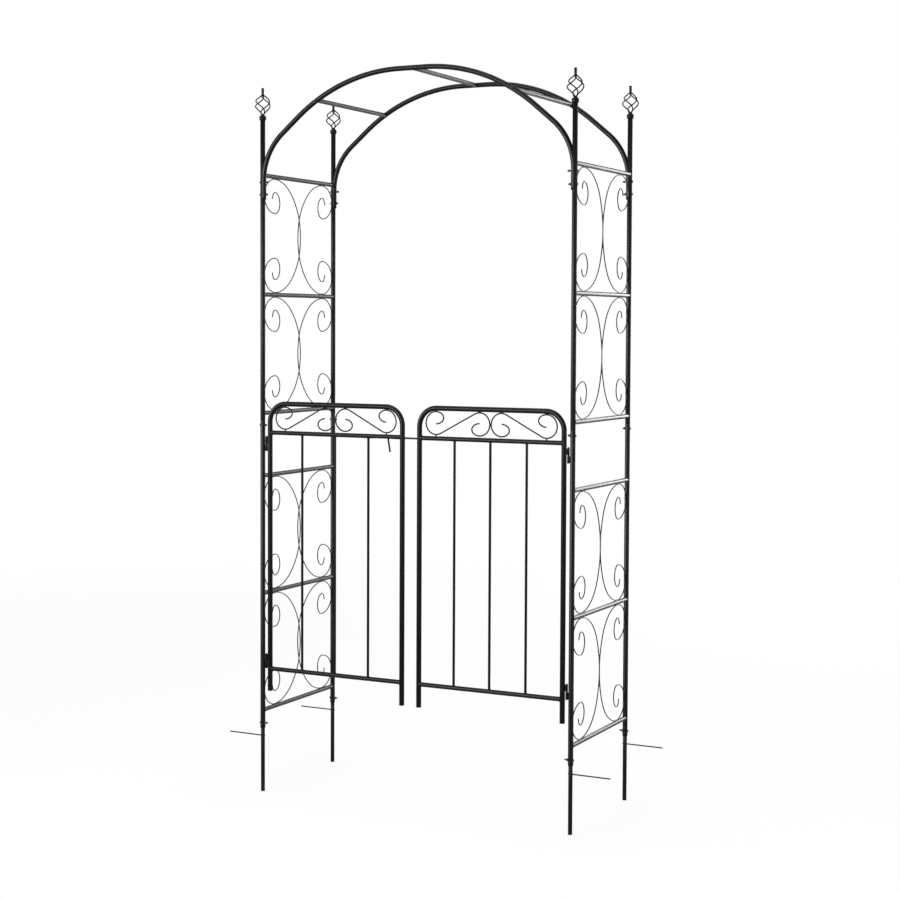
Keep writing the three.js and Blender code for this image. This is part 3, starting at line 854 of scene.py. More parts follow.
class Bench:
    """Turns gathered faces into pieces that ride on the frame."""

    def __init__(self) -> None:
        """Makes each slot's finish once."""
        self.finishes = {slot: finish.make() for slot, finish in FINISHES.items()}
        self.count = 0

    @staticmethod
    def mesh(name: str, shell: Shell, place: Matrix) -> bpy.types.Mesh:
        """A mesh in metres, with its faces turned outward.

        Args:
            name: The mesh's name.
            shell: The faces in millimetres.
            place: Where they go.

        Returns:
            The smooth-shaded mesh.
        """
        mesh = bpy.data.meshes.new(name)
        mesh.from_pydata([place @ point * MM for point in shell.points], [], shell.faces)
        work = bmesh.new()
        work.from_mesh(mesh)
        bmesh.ops.recalc_face_normals(work, faces=work.faces)
        work.to_mesh(mesh)
        work.free()
        mesh.shade_smooth()
        mesh.set_sharp_from_angle(angle=SHARP_ANGLE)
        return mesh

    def cut(self, mesh: bpy.types.Mesh, cutters: Sequence[Shell], place: Matrix) -> bpy.types.Mesh:
        """Cuts holes and slots out of a mesh.

        Args:
            mesh: The mesh that is cut.
            cutters: The closed shapes that are taken out of it.
            place: Where they go.

        Returns:
            The cut mesh.
        """
        body = add_object("being_cut", mesh)
        tools = []
        for i, shell in enumerate(cutters):
            tool = add_object(f"cutter_{i}", self.mesh(f"cutter_{i}", shell, place))
            step = body.modifiers.new(f"cut_{i}", "BOOLEAN")
            step.operation = "DIFFERENCE"
            step.solver = "EXACT"
            step.object = tool
            tools.append(tool)
        result = bpy.data.meshes.new_from_object(body.evaluated_get(bpy.context.evaluated_depsgraph_get()))
        for thing in (body, *tools):
            bpy.data.objects.remove(thing)
        result.shade_smooth()
        result.set_sharp_from_angle(angle=SHARP_ANGLE)
        return result

    def fit(self, name: str, shell: Shell, nodes: Sequence[str], slot: Slot, body: Body = Body.ARCH,
            place: Matrix | None = None, cutters: Sequence[Shell] = ()) -> None:
        """Makes a piece, dresses it and sets it on the frame.

        Args:
            name: The piece's name.
            shell: Its faces.
            nodes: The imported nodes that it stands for.
            slot: The slot that its finish comes from.
            body: The body that it moves with.
            place: Where its own frame lies, if that isn't the arch's.
            cutters: Shapes that are cut out of it.
        """
        spot = place or placed()
        mesh = self.mesh(name, shell, spot)
        if cutters:
            mesh = self.cut(mesh, cutters, spot)
        mesh.materials.clear()
        mesh.materials.append(self.finishes[slot])
        piece = add_object(name, mesh)
        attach(piece, body.value)
        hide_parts(*nodes)
        self.count += 1
        log.info("%s: %d faces, on %s, in place of %s", name, len(mesh.polygons), body.value,
                 ", ".join(nodes))


@dataclass(frozen=True)
class Layout:
    """Where the main lines of the arch stand, in millimetres."""

    post_x: float = 542.0
    post_y: float = 220.0
    post_radius: float = 8.0
    post_foot: float = 206.0
    joint: float = 1206.0
    post_top: float = 2164.0
    lower_rungs: tuple[float, ...] = (265.0, 646.0, 1027.0)
    upper_rungs: tuple[float, ...] = (1229.0, 1610.0, 1991.0)
    seat_gap: float = 0.3
    hinge_x: float = 528.0
    hinge_feet: tuple[float, ...] = (403.0, 1107.0)
    slide_bolt: float = 1164.5


LAYOUT = Layout()


@dataclass(frozen=True)
class Corner:
    """A corner of the arch, where a post stands."""

    depth: Depth
    side: Side

    @property
    def words(self) -> str:
        """The corner's words in piece names."""
        return f"{self.depth.word}_{self.side.word}"

    @property
    def spot(self) -> Matrix:
        """The place of its post, facing as the arch does."""
        return placed(self.side.value * LAYOUT.post_x, self.depth.value * LAYOUT.post_y)

    @property
    def place(self) -> Matrix:
        """The place of its own frame, with +X outward and +Y away from the middle."""
        return self.spot @ placed(flip_x=self.side.value, flip_y=self.depth.value)


CORNERS = [Corner(depth, side) for depth in Depth for side in Side]


@dataclass(frozen=True)
class ClampBolt:
    """A domed socket-head bolt with a washer, a hexagon nut and a threaded tail."""

    shank_radius: float = 2.5
    head_radius: float = 4.5
    head_height: float = 3.2
    washer: float = 0.7
    socket_flats: float = 2.8
    socket_depth: float = 1.5
    nut_flats: float = 8.0
    nut_height: float = 4.0
    nut_corner: float = 4.6
    pitch: float = 0.8
    thread_depth: float = 0.34

    def head(self, shell: Shell, under: Vector, way: Vector) -> None:
        """Adds the head.

        Args:
            shell: The faces that it goes to.
            under: The middle of its underside.
            way: The way that it looks.
        """
        across = way.orthogonal().normalized()
        rim = self.head_radius
        top = self.head_height
        shell.turned(under, way, across, [
            (rim - 0.2, 0.0), (rim, 0.15), (rim, self.washer - 0.15), (rim - 0.15, self.washer),
            (rim * 0.9, self.washer + 0.02)], 36)
        crown = rim * 0.88
        flats = self.socket_flats
        lip = flats * 0.62
        dome = [(crown * math.cos(t), self.washer + (top - self.washer) * math.sin(t))
                for t in (0.0, 0.25, 0.5, 0.75, 0.95)]
        shell.turned(under, way, across, [(crown, 0.1), *dome, (lip, top - 0.08)], 36)
        recess = hexagon(flats)
        shell.turned(under, way, across, [
            (lip, top - 0.1), (lip, top - 0.02), (flats * 0.56, top - 0.02), (flats * 0.54, top - 0.2),
            (flats * 0.5, top - self.socket_depth)], 36,
            lambda a, r, h: r if h > top - 0.15 else recess(a, r, h))

    def clamped(self, shell: Shell, height: float, outer_seat: float, inner_seat: float, tail: float) -> None:
        """Adds the whole bolt, with its head outward and its nut inward.

        Args:
            shell: The faces that it goes to.
            height: The height of its axis.
            outer_seat: How far out from the post's axis the head sits.
            inner_seat: How far in from it the nut sits.
            tail: How much thread stands out of the nut.
        """
        gap = LAYOUT.seat_gap
        under = outer_seat + gap
        nut_face = inner_seat + gap
        axis_point = Z * height
        self.head(shell, axis_point + X * under, X)
        reach = nut_face + self.nut_height
        tip = reach + tail
        r = self.shank_radius
        shell.turned(axis_point, -X, Y, [(r, -under), (r, reach - 0.4)], 24)
        steps = max(4, round((tail + 0.1) / self.pitch * 6))
        start = reach - 0.4
        heights = [start + (tip - 0.5 - start) * i / steps for i in range(steps + 1)]
        shell.turned(axis_point, -X, Y, [*[(r, h) for h in heights], (r - 0.35, tip - 0.1), (r - 0.8, tip)],
                     24, thread(self.thread_depth, self.pitch, reach, tip - 0.4))
        corner = self.nut_corner
        shell.turned(axis_point, -X, Y, [
            (corner - 0.55, nut_face), (corner - 0.2, nut_face + 0.25), (corner, nut_face + 0.5),
            (corner, reach - 0.5), (corner - 0.2, reach - 0.25), (corner - 0.55, reach), (r + 0.35, reach),
            (r + 0.1, reach - 0.3)], 36, hexagon(self.nut_flats, corner))


BOLT = ClampBolt()


@dataclass(frozen=True)
class HingeHardware:
    """The pin, knuckles and tabs of one hinge."""

    knuckle_radius: float = 3.75
    pin_radius: float = 2.0
    bore_radius: float = 2.3
    post_height: float = 24.0
    gate_height: float = 22.5
    pin_proud: float = 2.5
    tab_thickness: float = 2.5
    tab_margin: float = 2.0
    tab_reach: float = 6.6
    weld: float = 0.9

    def tab(self, shell: Shell, axis: Vector, way: int, inner: float, knuckle: Pair) -> None:
        """Adds a knuckle's tab and its welds.

        Args:
            shell: The faces that they go to.
            axis: A point on the pin's axis, at height 0.
            way: 1 if the tab runs towards +X, -1 if it runs the other way.
            inner: How far from the pin's axis the tab starts.
            knuckle: The heights of the knuckle's foot and top.
        """
        low, high = knuckle[0] + self.tab_margin, knuckle[1] - self.tab_margin
        half = self.tab_thickness / 2
        start, end = sorted((way * inner, way * (self.tab_reach - 0.35)))
        shell.slab(axis + Vector((start, -half, low)), axis + Vector((end, half, high)), 0.3)
        for side in (-1, 1):
            for reach in (self.tab_reach - 0.6, self.knuckle_radius - 0.3):
                spot = axis + Vector((way * reach, side * (half + 0.1), 0))
                shell.seam(spot + Z * (low + 0.8), spot + Z * (high - 0.8), X, self.weld)

    def on_post(self, shell: Shell, axis: Vector, foot: float) -> None:
        """Adds the post's knuckle, with the pin that stands out of it.

        Args:
            shell: The faces that they go to.
            axis: A point on the pin's axis, at height 0.
            foot: The height of the knuckle's foot.
        """
        r, p = self.knuckle_radius, self.pin_radius
        top = foot + self.post_height
        tip = top + LAYOUT.seat_gap + self.gate_height + self.pin_proud
        shell.turned(axis, Z, X, [
            (r - 0.6, foot), (r - 0.15, foot + 0.2), (r, foot + 0.6), (r, top - 0.5), (r - 0.15, top - 0.15),
            (r - 0.5, top), (p + 0.05, top), (p, top + 0.1), (p, tip - 1.3), (p * 0.93, tip - 0.7),
            (p * 0.75, tip - 0.25), (p * 0.4, tip)], 28)
        self.tab(shell, axis, 1, 0.0, (foot, top))

    def on_gate(self, shell: Shell, axis: Vector, foot: float) -> None:
        """Adds the gate's knuckle, which sits on the post's and turns on the pin.

        Args:
            shell: The faces that they go to.
            axis: A point on the pin's axis, at height 0.
            foot: The height of the post knuckle's foot.
        """
        r, b = self.knuckle_radius, self.bore_radius
        seat = foot + self.post_height + LAYOUT.seat_gap
        top = seat + self.gate_height
        shell.loft([[axis + Z * height + (X * math.cos(a) + Y * math.sin(a)) * radius
                     for a in (2 * math.pi * k / 28 for k in range(28))]
                    for radius, height in (
                        (b, seat + 0.2), (b + 0.2, seat), (r - 0.5, seat), (r - 0.15, seat + 0.15),
                        (r, seat + 0.5), (r, top - 0.5), (r - 0.15, top - 0.15), (r - 0.5, top),
                        (b + 0.2, top), (b, top - 0.2))], closed=True)
        self.tab(shell, axis, -1, b + 0.4, (seat, top))


HINGE = HingeHardware()


@dataclass(frozen=True)
class PostColumn:
    """A corner's lower and upper post, with the bolts through them."""

    bore: float = 6.8
    crimp_bore: float = 6.62
    crimp_wall: float = 6.9
    crimp_depth: float = 0.28
    crimp_fade: float = 5.0
    flare: float = 8.7
    crimp_top: float = 9.0
    flare_top: float = 11.0
    spigot_radius: float = 6.5
    spigot_length: float = 40.0
    flutes: int = 10
    sides: int = 40
    panel_bolt: float = 1190.0
    arch_bolts: Pair = (1968.0, 1929.0)
    leg_reach: Pair = (15.04, 12.0)
    bolt_tail: float = 4.0

    def lower(self, hinged: bool) -> Shell:
        """A lower post about its own axis, crimped at its foot.

        Args:
            hinged: Whether the gate's hinge pins are welded to it.

        Returns:
            The post's faces.
        """
        foot, top, r = LAYOUT.post_foot, LAYOUT.joint - LAYOUT.seat_gap, LAYOUT.post_radius
        flare = foot + self.crimp_top

        def crimped(angle: float, radius: float, height: float) -> float:
            """The post's radius, pinched into flutes below the flare.

            Args:
                angle: The angle round the post.
                radius: The profile's radius.
                height: The profile's height.

            Returns:
                The radius there.
            """
            if radius < self.crimp_wall or height > flare:
                return radius
            share = min(1.0, (flare - height) / self.crimp_fade)
            return radius - self.crimp_depth * share * (0.5 + 0.5 * math.cos(self.flutes * angle))

        shell = Shell()
        shell.turned(Vector(), Z, Y, [
            (self.crimp_bore, foot + 7.0), (self.crimp_bore, foot + 0.3), (7.0, foot), (7.35, foot + 0.1),
            (7.55, foot + 0.5), (7.7, foot + 2.0), (7.95, foot + 4.0), (8.25, foot + 6.0),
            (8.55, foot + 7.8), (self.flare, flare), (self.flare, foot + self.flare_top - 0.3),
            (self.flare - 0.2, foot + self.flare_top + 0.3), (r + 0.2, foot + self.flare_top + 1.5),
            (r, foot + self.flare_top + 2.2), (r, top - 0.5), (r - 0.12, top - 0.15), (r - 0.45, top),
            (self.bore + 0.2, top), (self.bore, top - 0.3), (self.bore, top - 20.0)], self.sides, crimped)
        if hinged:
            for height in LAYOUT.hinge_feet:
                HINGE.on_post(shell, X * (LAYOUT.hinge_x - LAYOUT.post_x), height)
        return shell

    def upper(self) -> Shell:
        """An upper post about its own axis, with the swaged shoulder and spigot at its foot.

        Returns:
            The post's faces.
        """
        joint, top, r = LAYOUT.joint, LAYOUT.post_top, LAYOUT.post_radius
        spigot = joint - self.spigot_length
        shell = Shell()
        shell.turned(Vector(), Z, Y, [
            (5.4, spigot + 6.0), (5.4, spigot), (6.2, spigot), (self.spigot_radius, spigot + 0.5),
            (self.spigot_radius, joint - 0.6), (6.9, joint + 0.1), (7.45, joint + 0.7), (7.8, joint + 1.8),
            (r, joint + 3.6), (r, top - 0.6), (r - 0.15, top - 0.18), (r - 0.5, top), (self.bore + 0.25, top),
            (self.bore, top - 0.3), (self.bore, top - 12.0)], self.sides)
        return shell

    def build(self, bench: Bench) -> None:
        """Makes the posts and their bolts at all four corners.

        Args:
            bench: Where the pieces are fitted.
        """
        bolts = [("panel_bolt", self.panel_bolt, LAYOUT.post_radius)]
        bolts += [(f"arch_bolt_{word}", height, reach) for word, height, reach in
                  zip(("upper", "lower"), self.arch_bolts, self.leg_reach)]
        for corner in CORNERS:
            words, place = corner.words, corner.place
            lower = self.lower(hinged=corner.depth is Depth.FRONT)
            bench.fit(f"post_lower_{words}", lower, [f"lower_post_{words}"], Slot.POST, place=place)
            bench.fit(f"post_upper_{words}", self.upper(), [f"upper_post_{words}"], Slot.POST, place=place)
            for name, height, inner in bolts:
                shell = Shell()
                BOLT.clamped(shell, height, LAYOUT.post_radius, inner, self.bolt_tail)
                bench.fit(f"fitted_{name}_{words}", shell, [f"{name}_{words}"], Slot.FASTENER, place=place)


@dataclass(frozen=True)
class GroundStake:
    """The thin tube pushed into the ground under a post, with its peg and its bolt."""

    radius: float = 6.5
    bore: float = 5.3
    top: float = 248.0
    peg_radius: float = 2.0
    peg_height: float = 182.0
    peg_reach: float = 128.0
    peg_stub: float = 8.5
    bolt_height: float = 224.0
    bolt_tail: float = 7.0

    def stake(self) -> Shell:
        """The stake and peg about the stake's axis.

        Returns:
            Their faces.
        """
        r, top = self.radius, self.top
        shell = Shell()
        shell.turned(Vector(), Z, Y, [
            (r - 0.9, 0.0), (r - 0.35, 0.15), (r, 0.8), (r, top - 0.4), (r - 0.3, top),
            (self.bore + 0.2, top), (self.bore, top - 0.4), (self.bore, top - 12.0)], 36)
        rod = Bending(Plane(Vector((0, 0, self.peg_height)), X, Z), self.peg_radius)
        rod.straight((-self.peg_stub, 0), (self.peg_reach, 0), 6)
        shell.tube(rod.stations, 20, (TubeEnd.DOMED, TubeEnd.DOMED))
        meeting = Meeting(Z * self.peg_height, Z, r)
        for way in (X, -X):
            shell.weld(meeting, way, self.peg_radius, 0.8)
        return shell

    def build(self, bench: Bench) -> None:
        """Makes the stakes and their bolts at all four corners.

        Args:
            bench: Where the pieces are fitted.
        """
        for corner in CORNERS:
            words, place = corner.words, corner.place
            bench.fit(f"ground_stake_{words}", self.stake(), [f"stake_{words}"], Slot.STAKE, place=place)
            shell = Shell()
            BOLT.clamped(shell, self.bolt_height, LAYOUT.post_radius, LAYOUT.post_radius, self.bolt_tail)
            bench.fit(f"fitted_stake_bolt_{words}", shell, [f"stake_bolt_{words}"], Slot.FASTENER,
                      place=place)


@dataclass(frozen=True)
class Finial:
    """The ball collar on a post's top and the twisted wire basket that stands on it."""

    ball_radius: float = 11.5
    ball_foot_radius: float = 8.0
    half_ball: float = 8.0
    plug_radius: float = 6.5
    plug_length: float = 25.0
    neck_radius: float = 5.5
    neck_height: float = 4.0
    basket_height: float = 62.0
    basket_radius: float = 28.3
    wire_radius: float = 2.0
    wire_count: int = 4
    turn: float = -190.8
    first_angle: float = 9.6
    belly_share: float = 0.567
    pinch: float = 1.22
    stem_radius: float = 4.2
    stem_length: float = 22.0
    steps: int = 36

    @property
    def ball_centre(self) -> float:
        """The height of the ball's middle."""
        return LAYOUT.post_top + LAYOUT.seat_gap + self.half_ball

    @property
    def neck_top(self) -> float:
        """The height where the basket stands."""
        return self.ball_centre + self.half_ball + self.neck_height

    def collar(self, shell: Shell) -> None:
        """Adds the plug, the ball and the neck.

        Args:
            shell: The faces that they go to.
        """
        foot = LAYOUT.post_top
        hollow = 1 - (self.ball_foot_radius / self.ball_radius) ** 2
        ball = [(self.ball_radius * math.sqrt(1 - s * s * hollow), self.ball_centre + self.half_ball * s)
                for s in (i / 8 for i in range(-8, 9))]
        ball_top = self.ball_centre + self.half_ball
        top = self.neck_top
        shell.turned(Vector(), Z, Y, [
            (self.plug_radius - 0.6, foot - self.plug_length),
            (self.plug_radius, foot - self.plug_length + 0.8), (self.plug_radius, foot + 0.3), *ball,
            (6.6, ball_top + 0.5), (5.6, ball_top + 1.3), (self.neck_radius - 0.2, top - 1.2),
            (self.neck_radius - 0.5, top - 0.3), (self.neck_radius - 1.2, top)], 40)

    def wire(self, shell: Shell, start: float) -> None:
        """Adds one wire of the basket.

        Args:
            shell: The faces that it goes to.
            start: The angle that it starts at, in degrees.
        """
        low = self.neck_top - self.neck_height
        high = self.neck_top + self.basket_height
        ease = math.log(0.5) / math.log(self.belly_share)
        tie = self.stem_radius - self.wire_radius / 2
        belly = self.basket_radius - self.wire_radius - tie

        def point(t: float) -> Vector:
            """The wire's middle.

            Args:
                t: The share of the wire's height.

            Returns:
                The point there.
            """
            angle = math.radians(start + t * self.turn)
            swell = max(math.sin(math.pi * min(max(t, 0.0), 1.0) ** ease), 0.0)
            radius = tie + belly * swell ** self.pinch
            return Vector((radius * math.cos(angle), radius * math.sin(angle), low + (high - low) * t))

        stations = []
        for i in range(self.steps + 1):
            t = i / self.steps
            at = point(t)
            along = (point(min(t + 0.01, 1.0)) - point(max(t - 0.01, 0.0))).normalized()
            out = Vector((at.x, at.y, 0))
            across = (out - along * out.dot(along)).normalized()
            stations.append(Station(at, along, across, self.wire_radius))
        shell.tube(stations, 14, (TubeEnd.SQUARE, TubeEnd.SQUARE))

    def faces(self) -> Shell:
        """The whole finial about the post's axis.

        Returns:
            Its faces.
        """
        shell = Shell()
        self.collar(shell)
        for i in range(self.wire_count):
            self.wire(shell, self.first_angle + 360.0 * i / self.wire_count)
        r = self.stem_radius
        foot = self.neck_top + self.basket_height - 4.0
        tip = foot + 4.0 + self.stem_length
        shell.turned(Vector(), Z, Y, [
            (r - 0.8, foot - 0.6), (r, foot + 0.6), (r, tip - 1.6), (r * 0.95, tip - 0.9),
            (r * 0.8, tip - 0.35), (r * 0.5, tip - 0.05), (r * 0.3, tip)], 28)
        for height, reach in ((self.neck_top + 0.2, 5.0), (foot + 3.6, 4.8)):
            shell.turned(Z * height, Z, Y, [(reach - 1.0, -1.5), (reach, -0.6), (reach + 0.1, 0.3),
                                            (reach - 0.5, 1.1), (reach - 1.4, 1.6)], 28,
                         lambda a, radius, h: radius * (1 + 0.05 * math.sin(8 * a)))
        return shell

    def build(self, bench: Bench) -> None:
        """Makes the finials on all four posts.

        Args:
            bench: Where the pieces are fitted.
        """
        for corner in CORNERS:
            bench.fit(f"basket_finial_{corner.words}", self.faces(), [f"finial_{corner.words}"], Slot.FINIAL,
                      place=corner.spot)


@dataclass(frozen=True)
class SidePanel:
    """One welded ladder panel: three rungs with two crossing C-scrolls in each of its two cells."""

    rung_radius: float = 7.0
    wire_radius: float = 1.75
    wire_offset: float = 1.9
    crossing_reach: float = 60.0
    crossing_ease: float = 90.0
    weld_sink: float = 1.1
    curl_inset: float = 73.0
    belly_overlap: float = 5.0
    outer_curl: float = 111.0
    inner_curl: float = 69.0
    inner_reach: float = 28.0
    hook: Pair = (16.0, 23.0)
    rung_sink: float = 0.3
    rung_bead: float = 1.3
    wire_sides: int = 12

    def scroll(self, shell: Shell, cell: Pair, flip: float) -> None:
        """Adds one C-scroll with its spots of weld.

        Args:
            shell: The faces that it goes to.
            cell: The heights of the rungs below and above.
            flip: 1 for the scroll whose curls lie by the front post, -1 for the one by the back post.
        """
        bottom, top = self.cell_reach(cell)
        middle = (top + bottom) / 2
        line = self.curl_inset - LAYOUT.post_y
        side = self.curl_inset - LAYOUT.post_radius - LAYOUT.seat_gap - self.wire_radius
        outer, inner = self.outer_curl / 2, self.inner_curl / 2
        eye = self.outer_curl - self.inner_curl
        across, tall = self.hook
        wire = Bending(Plane(Vector(), Y * flip, Z), self.wire_radius)
        wire.bend((line, top - eye - tall), self.hook, (180, 90), 8)
        wire.bend((line, top - eye - inner), (self.inner_reach, inner), (90, -90), 18)
        wire.bend((line, top - outer), (side, outer), (270, 90), 24)
        before = len(wire.stations)
        wire.bend((line, middle), (self.belly_overlap - line, (top - bottom) / 2), (90, -90), 44)
        for station in wire.stations[before:]:
            far = abs(station.at.z - middle) - self.crossing_reach
            share = min(max(1 - far / self.crossing_ease, 0.0), 1.0)
            station.at.x = -self.wire_offset * flip * share * share * (3 - 2 * share)
        wire.bend((line, bottom + outer), (side, outer), (270, 90), 24)
        wire.bend((line, bottom + eye + inner), (self.inner_reach, inner), (90, -90), 18)
        wire.bend((line, bottom + eye + tall), self.hook, (-90, -180), 8)
        shell.tube(wire.stations, self.wire_sides, (TubeEnd.DOMED, TubeEnd.DOMED))
        post = LAYOUT.post_y - LAYOUT.post_radius
        for height in (top - outer, bottom + outer):
            shell.dab(Vector((0.0, -(post - 0.4) * flip, height)), Z, 3.4, 1.5)
        for height in (top + 0.7, bottom - 0.7):
            for way in (-1, 1):
                shell.dab(Vector((0.5 * flip, line * flip + way * 3.4, height)), Y, 2.4, 1.3)

    def cell_reach(self, cell: Pair) -> Pair:
        """The lowest and highest points of the scroll wires' middle between two rungs' heights."""
        reach = self.rung_radius + self.wire_radius - self.weld_sink
        return cell[0] + reach, cell[1] - reach

    def faces(self, rungs: Sequence[float]) -> Shell:
        """One whole panel in the plane of its two posts.

        Args:
            rungs: The heights of its three rungs.

        Returns:
            The panel's faces.
        """
        shell = Shell()
        for height in rungs:
            ends = [Meeting(Vector((0, way * LAYOUT.post_y, height)), Z, LAYOUT.post_radius - self.rung_sink)
                    for way in (-1, 1)]
            shell.coped(ends[0], ends[1], self.rung_radius, 28)
            for end, way in zip(ends, (Y, -Y)):
                skin = Meeting(end.at, Z, LAYOUT.post_radius)
                shell.weld(skin, way, self.rung_radius, self.rung_bead)
        for cell in zip(rungs, rungs[1:]):
            for flip in (1.0, -1.0):
                self.scroll(shell, cell, flip)
            bottom, top = self.cell_reach(cell)
            middle, half = (bottom + top) / 2, (top - bottom) / 2
            line = self.curl_inset - LAYOUT.post_y
            rise = half * math.sin(math.acos(-line / (self.belly_overlap - line)))
            for way in (-1, 1):
                shell.dab(Vector((0, 0, middle + way * rise)), Z, 2.6, 1.3)
        return shell

    def build(self, bench: Bench) -> None:
        """Makes the four panels.

        Args:
            bench: Where the pieces are fitted.
        """
        for side in Side:
            place = placed(x=side.value * LAYOUT.post_x, flip_x=side.value)
            for word, rungs in (("lower", LAYOUT.lower_rungs), ("upper", LAYOUT.upper_rungs)):
                bench.fit(f"scroll_panel_{word}_{side.word}", self.faces(rungs),
                          [f"{word}_trellis_{side.word}"], Slot.TRELLIS, place=place)


@dataclass(frozen=True)
class ArchHoop:
    """An arch of two bent halves, with legs pressed round the posts and a plugged joint at the crown."""

    radius: float = 8.0
    leg_x: float = 538.0
    leg_foot: float = 1912.0
    foot_round: float = 9.0
    foot_draw: float = 0.72
    press_reach: float = 260.0
    spring: float = 1973.0
    shoulder_radius: float = 190.0
    shoulder_turn: float = 50.0
    crown_radius: float = 570.0
    crown_flat: float = 46.0
    splice: float = 17.0
    spigot_radius: float = 6.5
    spigot_reach: float = 20.0
    sides: int = 40

    @property
    def shoulder_x(self) -> float:
        """How far the shoulder bend's centre lies from the middle."""
        return self.leg_x - self.shoulder_radius

    @property
    def crown_centre(self) -> float:
        """The height of the crown bend's centre, with the slanted stretch between the bends."""
        turn = math.radians(self.shoulder_turn)
        change = self.shoulder_radius - self.crown_radius
        slant = self.shoulder_x - self.crown_flat + change * math.cos(turn)
        rise = change * math.sin(turn) + slant / math.tan(turn)
        return self.spring + rise - 0.01

    def height_at(self, x: float) -> float:
        """The height of the arch's centre line at a distance from the middle."""
        return self.crown_centre + math.sqrt(self.crown_radius ** 2 - max(abs(x) - self.crown_flat, 0.0) ** 2)

    def slope_at(self, x: float) -> Vector:
        """The way that the arch runs at a signed distance from the middle."""
        past = math.copysign(max(abs(x) - self.crown_flat, 0.0), x)
        return Vector((self.height_at(x) - self.crown_centre, 0, -past)).normalized()

    def line(self, end: float) -> list[Station]:
        """The centre line of a half, from its leg's foot to its end at the crown.

        Args:
            end: The signed distance from the middle where it ends.

        Returns:
            The half's stations.
        """
        tube = Bending(Plane(Vector(), X, Z), self.radius)
        tube.straight((self.leg_x, self.leg_foot), (self.leg_x, self.spring), 12)
        turn = self.shoulder_turn
        tube.bend((self.shoulder_x, self.spring), (self.shoulder_radius,) * 2, (0, turn), 44)
        tube.bend((self.crown_flat, self.crown_centre), (self.crown_radius,) * 2, (turn, 90), 36)
        height = self.height_at(0)
        tube.straight((self.crown_flat, height), (end, height), 4)
        return tube.stations

    def pressed(self, point: Vector) -> Vector:
        """Presses a point of the leg's skin on to the post beside it.

        Args:
            point: A point of the round tube.

        Returns:
            The point, moved off the post and drawn in at the leg's rounded foot.
        """
        rise = point.z - self.leg_foot
        if rise > self.press_reach:
            return point
        made = point.copy()
        drawn = max(0.0, 1 - rise / self.foot_round)
        made.y *= math.sqrt(max(1 - (self.foot_draw * drawn) ** 2, 0.0))
        seat = LAYOUT.post_radius + LAYOUT.seat_gap
        if abs(made.y) < seat:
            face = LAYOUT.post_x - math.sqrt(seat ** 2 - made.y ** 2)
            made.x = min(made.x, face)
        return made

    def half(self, has_spigot: bool) -> Shell:
        """One half, made on the +X side.

        Args:
            has_spigot: Whether its end is swaged down to go inside the other half.

        Returns:
            The half's faces.
        """
        shell = Shell()
        if not has_spigot:
            shell.tube(self.line(-self.splice), self.sides, (TubeEnd.SQUARE, TubeEnd.BORED),
                       press=self.pressed)
            return shell
        stations = self.line(self.splice)
        last = stations[-1]
        stations[-1] = Station(last.at + X * 4.0, last.along, last.across, self.radius)
        for past, radius in ((2.4, 7.88), (1.2, 7.5), (0.4, 7.0), (-0.2, self.spigot_radius),
                             (-self.splice - self.spigot_reach + 0.6, self.spigot_radius),
                             (-self.splice - self.spigot_reach, self.spigot_radius - 0.5)):
            stations.append(Station(last.at + X * past, last.along, last.across, radius))
        shell.tube(stations, self.sides, (TubeEnd.SQUARE, TubeEnd.CLOSED), press=self.pressed)
        return shell

    def build(self, bench: Bench) -> None:
        """Makes the front and the back arch.

        Args:
            bench: Where the pieces are fitted.
        """
        for depth in Depth:
            for side in Side:
                place = placed(y=depth.value * LAYOUT.post_y, flip_x=side.value)
                bench.fit(f"arch_half_{depth.word}_{side.word}", self.half(side is Side.RIGHT),
                          [f"{depth.word}_arch_{side.word}"], Slot.ARCH, place=place)


HOOP = ArchHoop()


@dataclass(frozen=True)
class CrossBar:
    """A bar between the arches, bolted through each of them."""

    radius: float = 7.0
    offset: float = 340.0
    end_gap: float = 0.2
    thread_reach: float = 15.0

    def faces(self, x: float) -> Shell:
        """A bar at a signed distance from the middle, with its two bolts.

        Args:
            x: The distance.

        Returns:
            Their faces.
        """
        height = HOOP.height_at(x)
        seat = HOOP.radius + self.end_gap
        shell = Shell()
        ends = [Meeting(Vector((x, way * LAYOUT.post_y, height)), HOOP.slope_at(x), seat) for way in (-1, 1)]
        shell.coped(ends[0], ends[1], self.radius, 32)
        for way in (-1, 1):
            under = LAYOUT.post_y + HOOP.radius + LAYOUT.seat_gap
            BOLT.head(shell, Vector((x, way * under, height)), Y * way)
            shell.turned(Vector((x, 0, height)), Y * way, Z, [
                (BOLT.shank_radius, LAYOUT.post_y - HOOP.radius - self.thread_reach),
                (BOLT.shank_radius, under + 0.2)], 20)
        return shell

    def build(self, bench: Bench) -> None:
        """Makes the three bars."""
        for word, x in (("left", -self.offset), ("middle", 0.0), ("right", self.offset)):
            bench.fit(f"bolted_bar_{word}", self.faces(x), [f"cross_bar_{word}"], Slot.CROSS_BAR)


